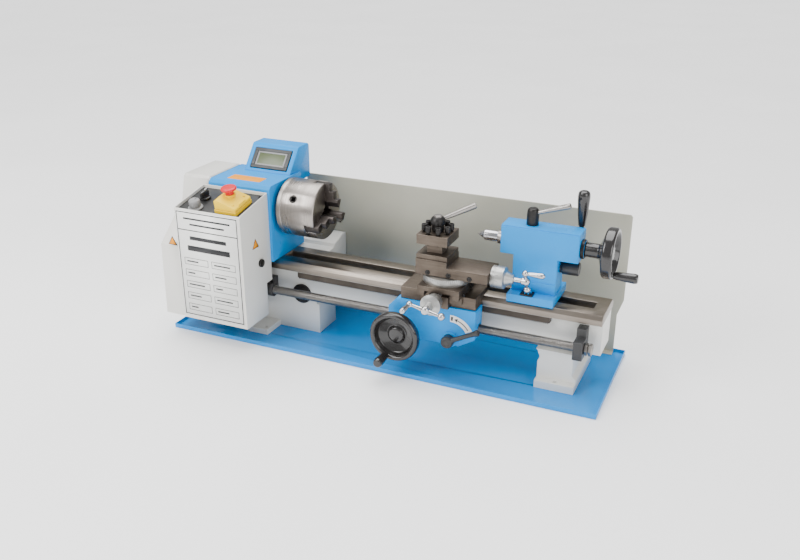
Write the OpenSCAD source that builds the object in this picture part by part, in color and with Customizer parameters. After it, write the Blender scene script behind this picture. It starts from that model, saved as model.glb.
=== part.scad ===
// Bench metal lathe: bed, geared headstock, carriage, tailstock, change gears and controls.
// X runs along the bed towards the tailstock, Y from the operator to the rear, Z up.
// The origin is the centre of the chip tray's underside.

/* [Tray and guard] */
// Length of the chip tray
tray_l = 770; // [740:5:800]
// Depth of the chip tray, front to rear
tray_d = 228; // [220:2:240]
// Sheet thickness of the tray floor
tray_t = 2; // [1.5:0.5:2]
// Height of the tray's rim
tray_rim_h = 8; // [5:1:12]
// Top edge of the rear splash guard above the tray underside
guard_top = 251; // [230:1:260]
// Left end of the splash guard
guard_left = -225; // [-235:1:-215]
// Right end of the splash guard
guard_right = 374; // [360:1:380]

/* [Bed] */
// Left end of the bed casting
bed_left = -330; // [-332:1:-328]
// Right end of the bed casting
bed_right = 368; // [360:1:375]
// Width over the ways
bed_w = 82; // [80:1:84]
// Height of the ways above the tray underside
bed_top = 134; // [132:1:136]
// Spindle axis above the ways, half the swing
centre_h = 90; // [88:1:92]

/* [Headstock] */
// Right face of the headstock
head_right = -207; // [-208:1:-206]
// Front face of the headstock
head_front = -50; // [-51:1:-50]
// Rear face of the headstock
head_rear = 58; // [56:1:60]
// Top of the headstock
head_top = 270; // [266:1:274]
// Bore through the spindle
spindle_bore_d = 20; // [18:1:22]
// Journal diameter of the spindle
spindle_d = 30; // [28:1:30]
// Chuck diameter
chuck_d = 100; // [80:1:100]
// Rear and front faces of the chuck body
chuck_x = [-197, -125];

/* [Gears] */
// Module of the change gears
gear_m = 1; // [1:1:1]
// Backlash at the pitch circle
backlash = 0.16; // [0.1:0.02:0.24]
// Teeth of the two gears of a 1 to 4 step
small_teeth = 20; // [20:1:20]
// Teeth of the large change gears
large_teeth = 80; // [80:1:80]

/* [Carriage] */
// Left and right ends of the saddle
saddle_x = [47, 175];
// Front face of the apron
apron_front = -76; // [-77:1:-75]
// Centre of the apron handwheel, along X and Z
wheel_xz = [53, 70];
// Diameter of the apron handwheel
wheel_d = 84; // [76:1:86]
// Centre of the compound swivel, along X and Y
swivel_xy = [117, -49];
// Centre of the tool post, along X and Y
post_xy = [100.5, -49];
// Side of the square tool post
post_w = 52; // [50:1:54]

/* [Tailstock] */
// Left and right ends of the tailstock barrel
barrel_x = [195, 319];
// Tip of the dead centre
centre_tip = 150; // [148:1:152]
// Diameter of the tailstock quill
quill_d = 22; // [20:1:22]
// Diameter of the tailstock handwheel
tail_wheel_d = 80; // [74:1:84]

/* [Hidden] */
$fn = 64;
pi = 3.14159265;
fit = 0.05;
gap = 0.3;
axis_z = bed_top + centre_h;
half_w = bed_w / 2;
tray_x = tray_l / 2;
tray_y = tray_d / 2;
rim_t = 1.5;
guard_t = 1.5;
guard_y = tray_y - rim_t - 2 * guard_t;
guard_corner = [101, 73];
foot_bolt_r = 3.3;
left_foot_x = -222;
left_foot_y = 64;
right_foot_x = 305;
right_foot_y = 53;
// Bed section
way_h = 16;
way_in = 12;
web_out = 30;
web_in = 22;
bed_floor = 75;
rib_top = 100;
rack_z = [106, 118];
rack_pitch_z = 107;
rack_x = [-165, 285];
// Leadscrew
screw_y = -54;
screw_z = 83;
screw_r = 7.5;
screw_x = [-378, 360];
// Headstock insides
wall = 6;
lay_yz = [30, axis_z - 19.9];
main_m = 1.5;
bull_teeth = 30;
high_teeth = 24;
low_teeth = 18;
bearing_r = 28;
lever_place = [-270, 170];
// Left-end gear planes, each from its right face to its left face
belt_x = [-344, -334];
plane_1 = [-356, -348];
plane_2 = [-367, -359];
plane_3 = [-378, -370];
cover_left = -385;
cover_bottom = 38;
output_teeth = 45;
tumbler_teeth = 25;
spindle_yz = [0, axis_z];
tumbler_yz = [4.15, axis_z - 34.75];
stud_yz = [-22, axis_z - 58];
banjo_yz = [-16.7, 116.3];
screw_yz = [screw_y, screw_z];
motor_yz = [74, 98];
motor_r = 30;
// Control box
box_x = [-341, -211];
box_y = [-137, head_front - gap];
box_z = [40, 243];
box_rise = 17;
panel_drop = 5;
notch_yz = [-68, 100];
panel_slope = atan(box_rise / (box_y[1] - box_y[0]));
speed_xy = [-308, -121];
direction_xy = [-311, -88];
stop_x = [-265, -223];
stop_y = [-128, -78];
// Chuck
jaw_w = 13;
jaw_r = [9, 49];
jaw_slot_x = -144;
pinion_x = -166;
jaw_turn = -4;
scroll_x = [-158, -145];
// Apron drive
apron_gear_yc = [-71, -64];
apron_teeth = 40;
wheel_teeth = 18;
rack_teeth = 16;
apron_gear_z = 99;
lever_xz = [136, 68];
nut_open = 3.5;
nut_x = [123, 149];
handle_xz = [wheel_xz[0] - 12.2, wheel_xz[1] - 32];
// Tailstock wheel
tail_wheel_x = 372;
tail_handle_yz = [-16, axis_z - 29];
// Slides
cross_x = [84, 154];
cross_y = [-92, 40];
cross_z = [142.2, 158];
slide_x = [74.5, 194];
slide_y = [-77, -21];
slide_z = [171.2, 187];
cross_screw_z = 140;
top_screw_z = 176;
post_z = [197, 205, 221, 237];

// ---- helpers ----

// A block between two opposite corners
module block(x, y, z) {
    translate([x[0], y[0], z[0]])
        cube([x[1] - x[0], y[1] - y[0], z[1] - z[0]]);
}

// A bar along X at a place in the Y-Z plane
module xbar(x, yz, r) {
    translate([x[0], yz[0], yz[1]])
        rotate([0, 90, 0])
            cylinder(h = x[1] - x[0], r = r);
}

// A bar along Y at a place in the X-Z plane
module ybar(y, xz, r) {
    translate([xz[0], y[1], xz[1]])
        rotate([90, 0, 0])
            cylinder(h = y[1] - y[0], r = r);
}

// A bar along Z at a place in the X-Y plane
module zbar(z, xy, r) {
    translate([xy[0], xy[1], z[0]])
        cylinder(h = z[1] - z[0], r = r);
}

// Extrude an outline drawn in the Y-Z plane along X
module along_x(x) {
    translate([x[0], 0, 0])
        rotate([90, 0, 90])
            linear_extrude(height = x[1] - x[0])
                children();
}

// Extrude an outline drawn in the X-Z plane along Y
module along_y(y) {
    translate([0, y[1], 0])
        rotate([90, 0, 0])
            linear_extrude(height = y[1] - y[0])
                children();
}

// A straight round rod between two points
module rod(a, b, r) {
    d = b - a;
    translate(a)
        rotate([0, acos(d[2] / norm(d)), atan2(d[1], d[0])])
            cylinder(h = norm(d), r = r);
}

// A round part turned about X from points of radius and X place
module turned_x(yz, outline) {
    translate([0, yz[0], yz[1]])
        rotate([0, 90, 0])
            rotate_extrude()
                polygon(outline);
}

// A round part turned about the line that faces the operator; outline is radius and distance forward
module turned_y(y, xz, outline) {
    translate([xz[0], y, xz[1]])
        rotate([90, 0, 0])
            rotate_extrude()
                polygon(outline);
}

// ---- gear outlines ----

function involute(a) = tan(a) * 180 / pi - a;
// Half the tooth's angle at radius r
function tooth_half(n, m, r) =
    90 / n - backlash * 90 / pi / (n * m / 2)
    + involute(20) - involute(acos(min(1, n * m / 2 * cos(20) / r)));
function at(r, a) = [r * cos(a), r * sin(a)];
// The six points of one tooth, from root to tip to root
function tooth(n, m, c, rf, rp, rt) =
    let (
        hf = tooth_half(n, m, max(rf, n * m / 2 * cos(20))),
        hp = tooth_half(n, m, rp),
        ht = tooth_half(n, m, rt)
    )
    [at(rf, c - hf), at(rp, c - hp), at(rt, c - ht), at(rt, c + ht), at(rp, c + hp), at(rf, c + hf)];
// Turn of the next gear that puts its gap on this gear's tooth, along direction a
function mesh_phase(phase, n, next_n, a) = a + 180 + (a - phase) * n / next_n + 180 / next_n;
function heading(p, q) = atan2(q[1] - p[1], q[0] - p[0]);

module gear_outline(n, m, phase, bore_r) {
    r = n * m / 2;
    difference() {
        polygon([for (i = [0 : n - 1]) each tooth(n, m, phase + i * 360 / n, r - 1.25 * m, r, r + m)]);
        circle(r = bore_r);
    }
}

// A spur gear on an axle along X
module xgear(n, m, x, yz, phase, bore_r) {
    along_x(x)
        translate(yz)
            gear_outline(n, m, phase, bore_r);
}

phase_s = heading(spindle_yz, tumbler_yz);
phase_t = mesh_phase(phase_s, output_teeth, tumbler_teeth, heading(spindle_yz, tumbler_yz));
phase_u = mesh_phase(phase_t, tumbler_teeth, output_teeth, heading(tumbler_yz, stud_yz));
phase_b = mesh_phase(0, small_teeth, large_teeth, heading(stud_yz, banjo_yz));
phase_d = mesh_phase(0, small_teeth, large_teeth, heading(banjo_yz, screw_yz));
phase_low = mesh_phase(0, bull_teeth, low_teeth, heading(spindle_yz, lay_yz));

// ---- base ----

module foot_holes() {
    for (s = [-1, 1]) {
        zbar([-1, 40], [left_foot_x, s * left_foot_y], foot_bolt_r);
        zbar([-1, 40], [right_foot_x, s * right_foot_y], foot_bolt_r);
    }
}

module chip_tray() {
    color("deepskyblue")
    difference() {
        union() {
            block([-tray_x, tray_x], [-tray_y, tray_y], [0, tray_t]);
            difference() {
                block([-tray_x, tray_x], [-tray_y, tray_y], [0, tray_rim_h]);
                block([rim_t - tray_x, tray_x - rim_t], [rim_t - tray_y, tray_y - rim_t], [tray_t, tray_rim_h + 1]);
            }
        }
        foot_holes();
    }
}

module splash_guard() {
    color("gainsboro") {
        along_y([guard_y, guard_y + guard_t])
            polygon([
                [guard_left, tray_t], [guard_right - 9, tray_t], [guard_right - 9, guard_corner[1]],
                [guard_right, guard_corner[0]], [guard_right, guard_top - 3], [guard_right - 3, guard_top],
                [guard_left, guard_top]
            ]);
        block([guard_left, guard_right - 9], [guard_y - 12, guard_y], [tray_t, tray_t + guard_t]);
        block([guard_left, guard_right - 3], [guard_y + guard_t, guard_y + guard_t + 1.4], [guard_top - 10, guard_top]);
    }
}

module way_section() {
    for (s = [-1, 1]) {
        polygon([
            [s * half_w, bed_top - way_h], [s * half_w, bed_top - 6], [s * (half_w - 6), bed_top],
            [s * way_in, bed_top], [s * way_in, bed_top - way_h]
        ]);
        polygon([
            [s * web_out, bed_floor], [s * web_out, bed_top - way_h], [s * web_in, bed_top - way_h],
            [s * web_in, bed_floor]
        ]);
    }
}

module foot_flange(x, y, h) {
    block([x - 20, x + 20], [-y - 12, y + 12], [tray_t, tray_t + h]);
}

module bed() {
    color("whitesmoke")
    difference() {
        union() {
            along_x([bed_left, bed_right])
                way_section();
            // solid ends, cross ribs and the floor over each foot
            for (x = [[bed_left, -205], [-100, -88], [0, 12], [150, 162], [262, 348]])
                block(x, [-web_in, web_in], [bed_floor, rib_top]);
            block([bed_left, -205], [-web_in, web_in], [rib_top, bed_top - way_h]);
            block([348, bed_right], [-web_out, web_out], [bed_floor - 12, bed_top]);
            block([bed_left, -205], [-way_in, way_in], [bed_top - way_h, bed_top]);
            // left foot
            block([-300, -130], [-30, 30], [tray_t, 58]);
            block([-300, -205], [-34, 34], [58, bed_floor]);
            block([-205, -135], [-30, 30], [58, bed_floor]);
            foot_flange(left_foot_x - 10, left_foot_y, 10);
            // right foot, waisted
            along_y([-46, 46])
                difference() {
                    polygon([[273, tray_t], [337, tray_t], [337, 20], [330, 26], [330, 62], [338, 75],
                        [260, 75], [273, 60]]);
                    translate([266, 50])
                        circle(r = 10);
                }
            block([273, 337], [-60.5, 60.5], [tray_t, 15]);
        }
        // leave the leadscrew and its bracket clear
        block([250, 345], [-53, -31], [64, 80]);
        block([250, 345], [31, 53], [64, 80]);
        foot_holes();
    }
}

module feed_rack() {
    count = floor((rack_x[1] - rack_x[0]) / pi);
    first = wheel_xz[0] - pi * (floor((wheel_xz[0] - rack_x[0]) / pi) - 0.5);
    side = tan(20);
    half_pitch = pi / 4 - backlash / 4;
    color("dimgray")
    along_y([-half_w + 1, -web_out - gap])
        polygon(concat(
            [[first - 3, rack_z[1]], [first - 3, rack_pitch_z + 1.25]],
            [for (i = [0 : count - 1]) let (c = first + i * pi) each [
                [c - half_pitch - 1.25 * side, rack_pitch_z + 1.25], [c - half_pitch + side, rack_pitch_z - 1],
                [c + half_pitch - side, rack_pitch_z - 1], [c + half_pitch + 1.25 * side, rack_pitch_z + 1.25]
            ]],
            [[first + count * pi, rack_pitch_z + 1.25], [first + count * pi, rack_z[1]]]
        ));
}

// A socket screw with its head towards +Z
module screw_head(r, h) {
    difference() {
        cylinder(h = h, r = r);
        translate([0, 0, h - r * 0.8])
            cylinder(h = r, r = r * 0.55, $fn = 6);
    }
}

module plugs_and_screws() {
    color("black") {
        // round plug on the left foot wall
        ybar([-33, -web_out], [-163, 74], 18);
        // plug in the side of the control box
        xbar([box_x[1], box_x[1] + 4], [-84, 144], 7);
        // knurled screws of the gear cover
        for (yz = [[-100, 70], [80, 70]])
            xbar([cover_left - 10, cover_left], yz, 8);
        // guard screws on the tray
        for (x = [-150, 75, 300])
            translate([x, guard_y - 7, tray_t + guard_t])
                screw_head(4, 3);
        // panel screws
        for (x = [box_x[0] + 10, box_x[1] - 8])
            translate([x, box_y[1] - 10, panel_z(box_y[1] - 10)])
                rotate([panel_slope, 0, 0])
                    screw_head(3, 2);
    }
}

// ---- headstock ----

module headstock() {
    color("deepskyblue")
    difference() {
        along_x([bed_left, head_right])
            polygon([
                [head_front, bed_top], [head_rear, bed_top], [head_rear, head_top - 4],
                [head_rear - 4, head_top], [head_front + 6, head_top], [head_front, head_top - 6]
            ]);
        block([bed_left + 18, head_right - 18], [head_front + wall, head_rear - wall], [bed_top + wall, head_top - wall]);
        xbar([bed_left - 1, head_right + 1], spindle_yz, bearing_r - 6);
        xbar([bed_left - 1, bed_left + 14], spindle_yz, bearing_r);
        xbar([head_right - 14, head_right + 1], spindle_yz, bearing_r);
        xbar([bed_left - 1, head_right - 8], lay_yz, 7 + fit);
        ybar([head_rear - 8, head_rear + 1], lever_place, 6 + fit);
    }
}

module display_housing() {
    color("deepskyblue")
    difference() {
        along_x([-305, -210])
            polygon([
                [24, head_top], [head_rear, head_top], [head_rear, 251], [96, 251], [96, 310],
                [92, 313], [61, 313], [58, 311]
            ]);
        // recess for the window, square to the sloping face
        translate([-257.5, 41, 290.5])
            rotate([50, 0, 0])
                translate([-38, -20, -3])
                    cube([76, 40, 10]);
    }
}

module display_window() {
    color("darkslategray")
    translate([-257.5, 41, 290.5])
        rotate([50, 0, 0])
            translate([-37.5, -19.5, -2.8])
                cube([75, 39, 4]);
}

module spindle() {
    r = spindle_d / 2;
    color("silver") {
        turned_x(spindle_yz, [
            [spindle_bore_d / 2, cover_left + 1], [13, cover_left + 1], [13, -330], [r, -330], [r, -205],
            [38, -205], [38, chuck_x[0]], [spindle_bore_d / 2, chuck_x[0]]
        ]);
        xgear(bull_teeth, main_m, [-262, -248], spindle_yz, 0, r);
        xgear(high_teeth, main_m, [-240, -228], spindle_yz, 0, r);
        xgear(output_teeth, gear_m, plane_1, spindle_yz, phase_s, 13);
    }
}

module spindle_bearings() {
    color("gray")
    for (x = [bed_left, head_right - 14])
        difference() {
            xbar([x, x + 14], spindle_yz, bearing_r);
            xbar([x - 1, x + 15], spindle_yz, spindle_d / 2 + fit);
        }
}

module layshaft() {
    color("darkgray") {
        xbar([belt_x[0] - 2, head_right - 10], lay_yz, 7);
        xgear(low_teeth, main_m, [-262, -248], lay_yz, phase_low, 7);
        xgear(high_teeth, main_m, [-284, -272], lay_yz, 0, 7);
        difference() {
            xbar(belt_x, lay_yz, 18);
            xbar([belt_x[0] - 1, belt_x[1] + 1], lay_yz, 7);
        }
    }
}

// Outline of a belt round two pulleys
module belt_outline(r1, r2) {
    d = norm(motor_yz - lay_yz);
    a = heading(lay_yz, motor_yz);
    t = acos((r1 - r2) / d);
    polygon([
        lay_yz + at(r1, a + t), lay_yz + at(r1, a - t),
        motor_yz + at(r2, a - t), motor_yz + at(r2, a + t)
    ]);
    translate(lay_yz)
        circle(r = r1);
    translate(motor_yz)
        circle(r = r2);
}

module drive_belt() {
    color("black")
    along_x([belt_x[0] + 1.5, belt_x[1] - 1.5])
        difference() {
            belt_outline(19.8, 10.8);
            belt_outline(18 + gap, 9 + gap);
        }
}

module motor() {
    color("dimgray")
    difference() {
        union() {
            xbar([-318, -165], motor_yz, motor_r);
            xbar([-330, -318], motor_yz, 16);
        }
        xbar([-331, -200], motor_yz, 5 + fit);
    }
}

module motor_pulley() {
    color("silver") {
        difference() {
            xbar(belt_x, motor_yz, 9);
            xbar([belt_x[0] - 1, belt_x[1] + 1], motor_yz, 5);
        }
        xbar([belt_x[0], -210], motor_yz, 5);
    }
}

module motor_cover() {
    color("whitesmoke")
    difference() {
        along_x([-326, -146])
            polygon([[42, 52], [guard_y - 1, 52], [guard_y - 1, 146], [98, 148], [64, 138], [59.5, 132.5],
                [42, 131]]);
        along_x([-327, -148])
            polygon([[43.5, 40], [guard_y - 2.5, 40], [guard_y - 2.5, 144.6], [98, 146.4], [65, 136.6],
                [60.3, 131], [43.5, 129.5]]);
    }
}

// Outline of the left-end gear cover
module cover_outline() {
    polygon([
        [-131, cover_bottom], [112, cover_bottom], [112, 150], [60, 190], [52, 228], [52, 268], [48, 272],
        [-42, 272], [-46.5, 268], [-58, 228], [-127, 168]
    ]);
}

module gear_cover() {
    color("whitesmoke")
    difference() {
        along_x([cover_left, bed_left - 2])
            cover_outline();
        along_x([cover_left + 2, bed_left])
            polygon([
                [-129, cover_bottom + 2], [110, cover_bottom + 2], [110, 149], [58.4, 188.7], [50, 227.6], [50, 267],
                [47, 270], [-41.2, 270], [-44.8, 266.8], [-56.3, 227], [-125.1, 167.1]
            ]);
        // mouth for long work through the spindle
        xbar([cover_left - 1, cover_left + 3], spindle_yz, 14);
        // clearance over the control box
        block([box_x[0] - 1, bed_left], [box_y[0], head_front], [0, 300]);
    }
}

module cast_brackets() {
    color([0.12, 0.12, 0.13]) {
        // right leadscrew bearing
        difference() {
            union() {
                block([332, 347], [screw_y + 6, -web_out], [76, 112]);
                along_x([332, 347])
                    translate(screw_yz)
                        square([30, 30], center = true);
            }
            xbar([331, 348], screw_yz, 6 + fit);
        }
        // left leadscrew bearing
        difference() {
            union() {
                block([-228, -212], [-46, -web_out], [76, 100]);
                xbar([-228, -205], screw_yz, 12);
            }
            xbar([-229, -204], screw_yz, screw_r + fit);
        }
        // tumbler plate with its pins
        difference() {
            along_x([-347.2, -344.6])
                polygon([[-32, 158], [-14, 152], [16, 182], [10, 200], [-4, 200], [-30, 178]]);
            xbar([-348, -344], spindle_yz, 24);
        }
        xbar([-357, -346], tumbler_yz, 4);
        xbar([-368, -330], stud_yz, 6);
        // banjo arm clamped round the leadscrew bearing
        difference() {
            union() {
                along_x([-346, -342.4])
                    polygon([[-66, 76], [-50, 68], [-4, 112], [-10, 128], [-28, 126]]);
                xbar([-379, -342.4], banjo_yz, 6);
                xbar([-346, -330], screw_yz, 12);
            }
            xbar([-347, -329], screw_yz, 6 + fit);
        }
    }
}

module tumbler_gear() {
    color("gray")
        xgear(tumbler_teeth, gear_m, plane_1, tumbler_yz, phase_t, 4 + fit);
}

module stud_gear() {
    color("gray") {
        xgear(output_teeth, gear_m, plane_1, stud_yz, phase_u, 6 + fit);
        xgear(small_teeth, gear_m, [plane_2[0], plane_1[0]], stud_yz, 0, 6 + fit);
    }
}

module banjo_gear() {
    color("gray") {
        xgear(large_teeth, gear_m, plane_2, banjo_yz, phase_b, 6 + fit);
        xgear(small_teeth, gear_m, [plane_3[0], plane_2[0]], banjo_yz, 0, 6 + fit);
    }
}

module leadscrew() {
    color("silver") {
        xbar([-228, 332], screw_yz, screw_r);
        xbar([screw_x[0], -228], screw_yz, 6);
        xbar([332, screw_x[1]], screw_yz, 6);
        xgear(large_teeth, gear_m, plane_3, screw_yz, phase_d, 6);
        for (x = [347.5, 354])
            difference() {
                translate([x, screw_y, screw_z])
                    rotate([0, 90, 0])
                        cylinder(h = 5.5, r = 10, $fn = 6);
                xbar([x - 1, x + 7], screw_yz, 6);
            }
    }
}

// ---- controls ----

function panel_z(y) = box_z[1] + (y - box_y[0]) * tan(panel_slope) - panel_drop;

module control_box() {
    sheet = 2;
    color("whitesmoke")
    difference() {
        along_x(box_x)
            polygon([
                [box_y[0], box_z[0]], [notch_yz[0], box_z[0]], notch_yz, [box_y[1], notch_yz[1]],
                [box_y[1], box_z[1] + box_rise], [box_y[0] + 3, box_z[1] + 1], [box_y[0], box_z[1] - 2]
            ]);
        // hollow inside, open at the bottom
        along_x([box_x[0] + sheet, box_x[1] - sheet])
            polygon([
                [box_y[0] + sheet, box_z[0] - 1], [notch_yz[0] - sheet, box_z[0] - 1],
                [notch_yz[0] - sheet, notch_yz[1] + sheet], [box_y[1] - sheet, notch_yz[1] + sheet],
                [box_y[1] - sheet, box_z[1] + box_rise + 2], [box_y[0] + sheet, box_z[1] + 4]
            ]);
    }
}

module control_panel() {
    color([0.1, 0.1, 0.1])
    difference() {
        along_x([box_x[0] + 2, box_x[1] - 2])
            polygon([
                [box_y[0] + 2, panel_z(box_y[0] + 2) - 2.5], [box_y[1] - 2, panel_z(box_y[1] - 2) - 2.5],
                [box_y[1] - 2, panel_z(box_y[1] - 2)], [box_y[0] + 2, panel_z(box_y[0] + 2)]
            ]);
        on_panel(speed_xy)
            translate([0, 0, -6])
                cylinder(h = 12, r = 3 + fit);
        on_panel(direction_xy)
            translate([0, 0, -6])
                cylinder(h = 12, r = 3 + fit);
    }
    // fixed yellow frame of the stop switch
    color("gold")
        on_stop_frame()
            difference() {
                translate([0, 0, 0])
                    cube([stop_x[1] - stop_x[0], stop_y[1] - stop_y[0], 7]);
                translate([5, 5, 4])
                    cube([stop_x[1] - stop_x[0] - 10, stop_y[1] - stop_y[0] - 10, 5]);
            }
}

module on_panel(xy) {
    translate([xy[0], xy[1], panel_z(xy[1])])
        rotate([panel_slope, 0, 0])
            children();
}

module on_stop_frame() {
    translate([stop_x[0], stop_y[0], panel_z(stop_y[0])])
        rotate([panel_slope, 0, 0])
            children();
}

module speed_knob() {
    color("silver")
    on_panel(speed_xy) {
        translate([0, 0, -4])
            cylinder(h = 6, r = 3);
        translate([0, 0, 0.6])
            cylinder(h = 2.4, r = 13);
        translate([0, 0, 3])
            cylinder(h = 13, r = 9.5);
    }
}

module direction_knob() {
    color("black")
    on_panel(direction_xy) {
        translate([0, 0, -4])
            cylinder(h = 6, r = 3);
        translate([0, 0, 0.6])
            cylinder(h = 4, r = 10);
        translate([-3, -10, 4])
            cube([6, 20, 12]);
    }
}

module range_lever() {
    color("black") {
        ybar([head_rear - 12, head_rear + 16], lever_place, 6);
        translate([lever_place[0], head_rear + 16, lever_place[1]])
            rotate([90, 0, 0])
                cylinder(h = 8, r = 12);
        rod([lever_place[0], head_rear + 12, lever_place[1]], [-236, head_rear + 12, 180.6], 3.4);
        ybar([head_rear + 5, head_rear + 19], [-236, 180.6], 7);
    }
}

// Yellow flip cover: a wedge that is thick at its left end
module estop_cover() {
    w = stop_x[1] - stop_x[0];
    d = stop_y[1] - stop_y[0];
    color("gold")
    on_stop_frame()
        difference() {
            translate([0, d - 1, 0])
                rotate([90, 0, 0])
                    linear_extrude(height = d - 2)
                        polygon([[1, 7.3], [w, 7.3], [w, 12], [w - 6, 14], [12, 24], [1, 24]]);
            translate([3, 4, 6])
                cube([w - 8, d - 8, 5]);
            translate([15, d * 0.6, 0])
                cylinder(h = 40, r = 7 + gap);
        }
}

module estop_button() {
    d = stop_y[1] - stop_y[0];
    color("red")
    on_stop_frame()
        translate([15, d * 0.6, 0]) {
            translate([0, 0, 13])
                cylinder(h = 16, r = 7);
            translate([0, 0, 29])
                cylinder(h = 3, r1 = 9, r2 = 13.5);
            translate([0, 0, 32])
                cylinder(h = 4, r = 13.5);
        }
}

// ---- chuck ----

module jaw_place(i) {
    translate([0, 0, axis_z])
        rotate([jaw_turn + 120 * i, 0, 0])
            children();
}

// The radial slot of one jaw, drawn along +Z
module jaw_slot(clear) {
    back = jaw_slot_x - clear - 0.2;
    block([back, chuck_x[1] + 1], [-jaw_w / 2 - clear, jaw_w / 2 + clear], [0, 60]);
    block([back, jaw_slot_x + 5 + clear], [-jaw_w / 2 - 2 - clear, jaw_w / 2 + 2 + clear], [0, 60]);
}

module chuck_body() {
    r = chuck_d / 2;
    color("silver")
    difference() {
        turned_x(spindle_yz, [
            [11, chuck_x[0]], [r - 1, chuck_x[0]], [r, chuck_x[0] + 1], [r, -189], [r - 0.8, -188.5],
            [r - 0.8, -187.5], [r, -187], [r, chuck_x[1] - 1.5], [r - 1.5, chuck_x[1]], [11, chuck_x[1]]
        ]);
        for (i = [0 : 2]) {
            jaw_place(i)
                jaw_slot(0.15);
            jaw_place(i + 0.5)
                translate([pinion_x, 0, 26])
                    cylinder(h = 40, r = 7 + fit);
        }
        // scroll chamber
        difference() {
            xbar([scroll_x[0] - 0.5, scroll_x[1] + 0.8], spindle_yz, 43);
            xbar([scroll_x[0] - 1, scroll_x[1] + 1], spindle_yz, 17);
        }
    }
}

module chuck_scroll() {
    color("gray")
    difference() {
        xbar(scroll_x, spindle_yz, 42.6);
        xbar([scroll_x[0] - 1, scroll_x[1] + 1], spindle_yz, 17.4);
        // spiral thread shown as rings
        for (r = [20 : 4 : 40])
            difference() {
                xbar([scroll_x[1] - 2.5, scroll_x[1] + 1], spindle_yz, r + 1.9);
                xbar([scroll_x[1] - 3, scroll_x[1] + 2], spindle_yz, r);
            }
    }
}

// Key socket with its bevel end, pointing outwards along +Z
module pinion() {
    color("dimgray")
    difference() {
        translate([pinion_x, 0, 30])
            cylinder(h = 19, r = 7);
        translate([pinion_x - 4, -4, 41])
            cube([8, 8, 10]);
    }
}

module chuck_pinion_1() {
    jaw_place(0.5)
        pinion();
}

module chuck_pinion_2() {
    jaw_place(1.5)
        pinion();
}

module chuck_pinion_3() {
    jaw_place(2.5)
        pinion();
}

// One stepped jaw, drawn along +Z
module jaw() {
    face = chuck_x[1];
    color("dimgray")
    difference() {
        union() {
            block([jaw_slot_x, face + 8], [-jaw_w / 2, jaw_w / 2], [jaw_r[0], jaw_r[1]]);
            block([jaw_slot_x, jaw_slot_x + 5], [-jaw_w / 2 - 2, jaw_w / 2 + 2], [jaw_r[0] + 4, jaw_r[1]]);
            block([face + 7, face + 16], [-jaw_w / 2, jaw_w / 2], [jaw_r[0], jaw_r[0] + 27]);
            block([face + 15, face + 24], [-jaw_w / 2, jaw_w / 2], [jaw_r[0], jaw_r[0] + 14]);
        }
        // the gripping edge is pointed
        for (s = [-1, 1])
            translate([0, 0, jaw_r[0]])
                rotate([s * 55, 0, 0])
                    translate([jaw_slot_x - 1, -12, -20])
                        cube([60, 24, 20]);
    }
}

module chuck_jaw_1() {
    jaw_place(0)
        jaw();
}

module chuck_jaw_2() {
    jaw_place(1)
        jaw();
}

module chuck_jaw_3() {
    jaw_place(2)
        jaw();
}

// ---- carriage ----

module carriage_saddle() {
    color("dimgray")
    difference() {
        union() {
            // front and rear wings on the ways, and the bridge between them
            block(saddle_x, [-72, -14], [122, 142]);
            block(saddle_x, [14, 50], [128, 142]);
            block([cross_x[0], cross_x[1]], [-78, 50], [130, 142]);
            block([cross_x[0] + 12, cross_x[1] - 12], [-78, 50], [142, 150]);
            // screw bracket at the front
            block([100, 134], [-86, -72], [122, 142]);
        }
        // the ways
        translate([0, 0, gap])
            along_x([saddle_x[0] - 1, saddle_x[1] + 1])
                polygon([
                    [-half_w - gap, 100], [-half_w - gap, bed_top - 6], [-half_w + 6, bed_top],
                    [half_w - 6, bed_top], [half_w + gap, bed_top - 6], [half_w + gap, 100]
                ]);
        ybar([-90, -70], [swivel_xy[0], cross_screw_z], 4 + fit);
        // channel for the cross screw
        block([swivel_xy[0] - 6, swivel_xy[0] + 6], [-74, 40], [135.3, 151]);
    }
}

module apron() {
    z = [56, 121.5];
    color("deepskyblue")
    difference() {
        union() {
            along_y([apron_front, -44])
                polygon([[27, 70], [41, z[0]], [150, z[0]], [177, 72], [177, z[1]], [42, z[1]], [27, 106]]);
            ybar([-84, apron_front], wheel_xz, 13);
            ybar([-82, apron_front], lever_xz, 13);
        }
        // open back
        difference() {
            along_y([apron_front + 4, -43])
                polygon([[31, 72], [43, z[0] + 4], [148, z[0] + 4], [173, 75], [173, z[1] - 1.2], [43.5, z[1] - 1.2], [31, 108]]);
            // guide for the half nuts
            block([nut_x[0] - 8, nut_x[1] + 8], [-64, -43], [z[0], z[1]]);
        }
        block([nut_x[0] - gap, nut_x[1] + gap], [-62.3, -43], [60, z[1] - 2]);
        ybar([-85, -60], wheel_xz, 6 + fit);
        ybar([apron_front - 1, -60], [wheel_xz[0], apron_gear_z], 4 + fit);
        ybar([-83, -60], lever_xz, 5 + fit);
        xbar([26, 180], screw_yz, screw_r + 1.5);
    }
}

module ygear(n, m, y, xz, phase, bore_r) {
    along_y(y)
        translate(xz)
            gear_outline(n, m, phase, bore_r);
}

module apron_handwheel() {
    r = wheel_d / 2;
    color([0.1, 0.1, 0.1]) {
        turned_y(0, wheel_xz, [
            [0, 104], [0, 84.3], [12, 84.3], [13, 92], [17, 96], [r - 11, 100], [r - 8, 103],
            [r - 2, 103], [r, 106], [r, 115], [r - 2.5, 118], [r - 7, 118], [r - 9, 115],
            [r - 12, 107], [16, 102], [12, 107], [7, 108], [0, 108]
        ]);
        ybar([-84.3, apron_gear_yc[1]], wheel_xz, 6);
        ygear(wheel_teeth, gear_m, apron_gear_yc, wheel_xz, 90, 6);
    }
}

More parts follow.
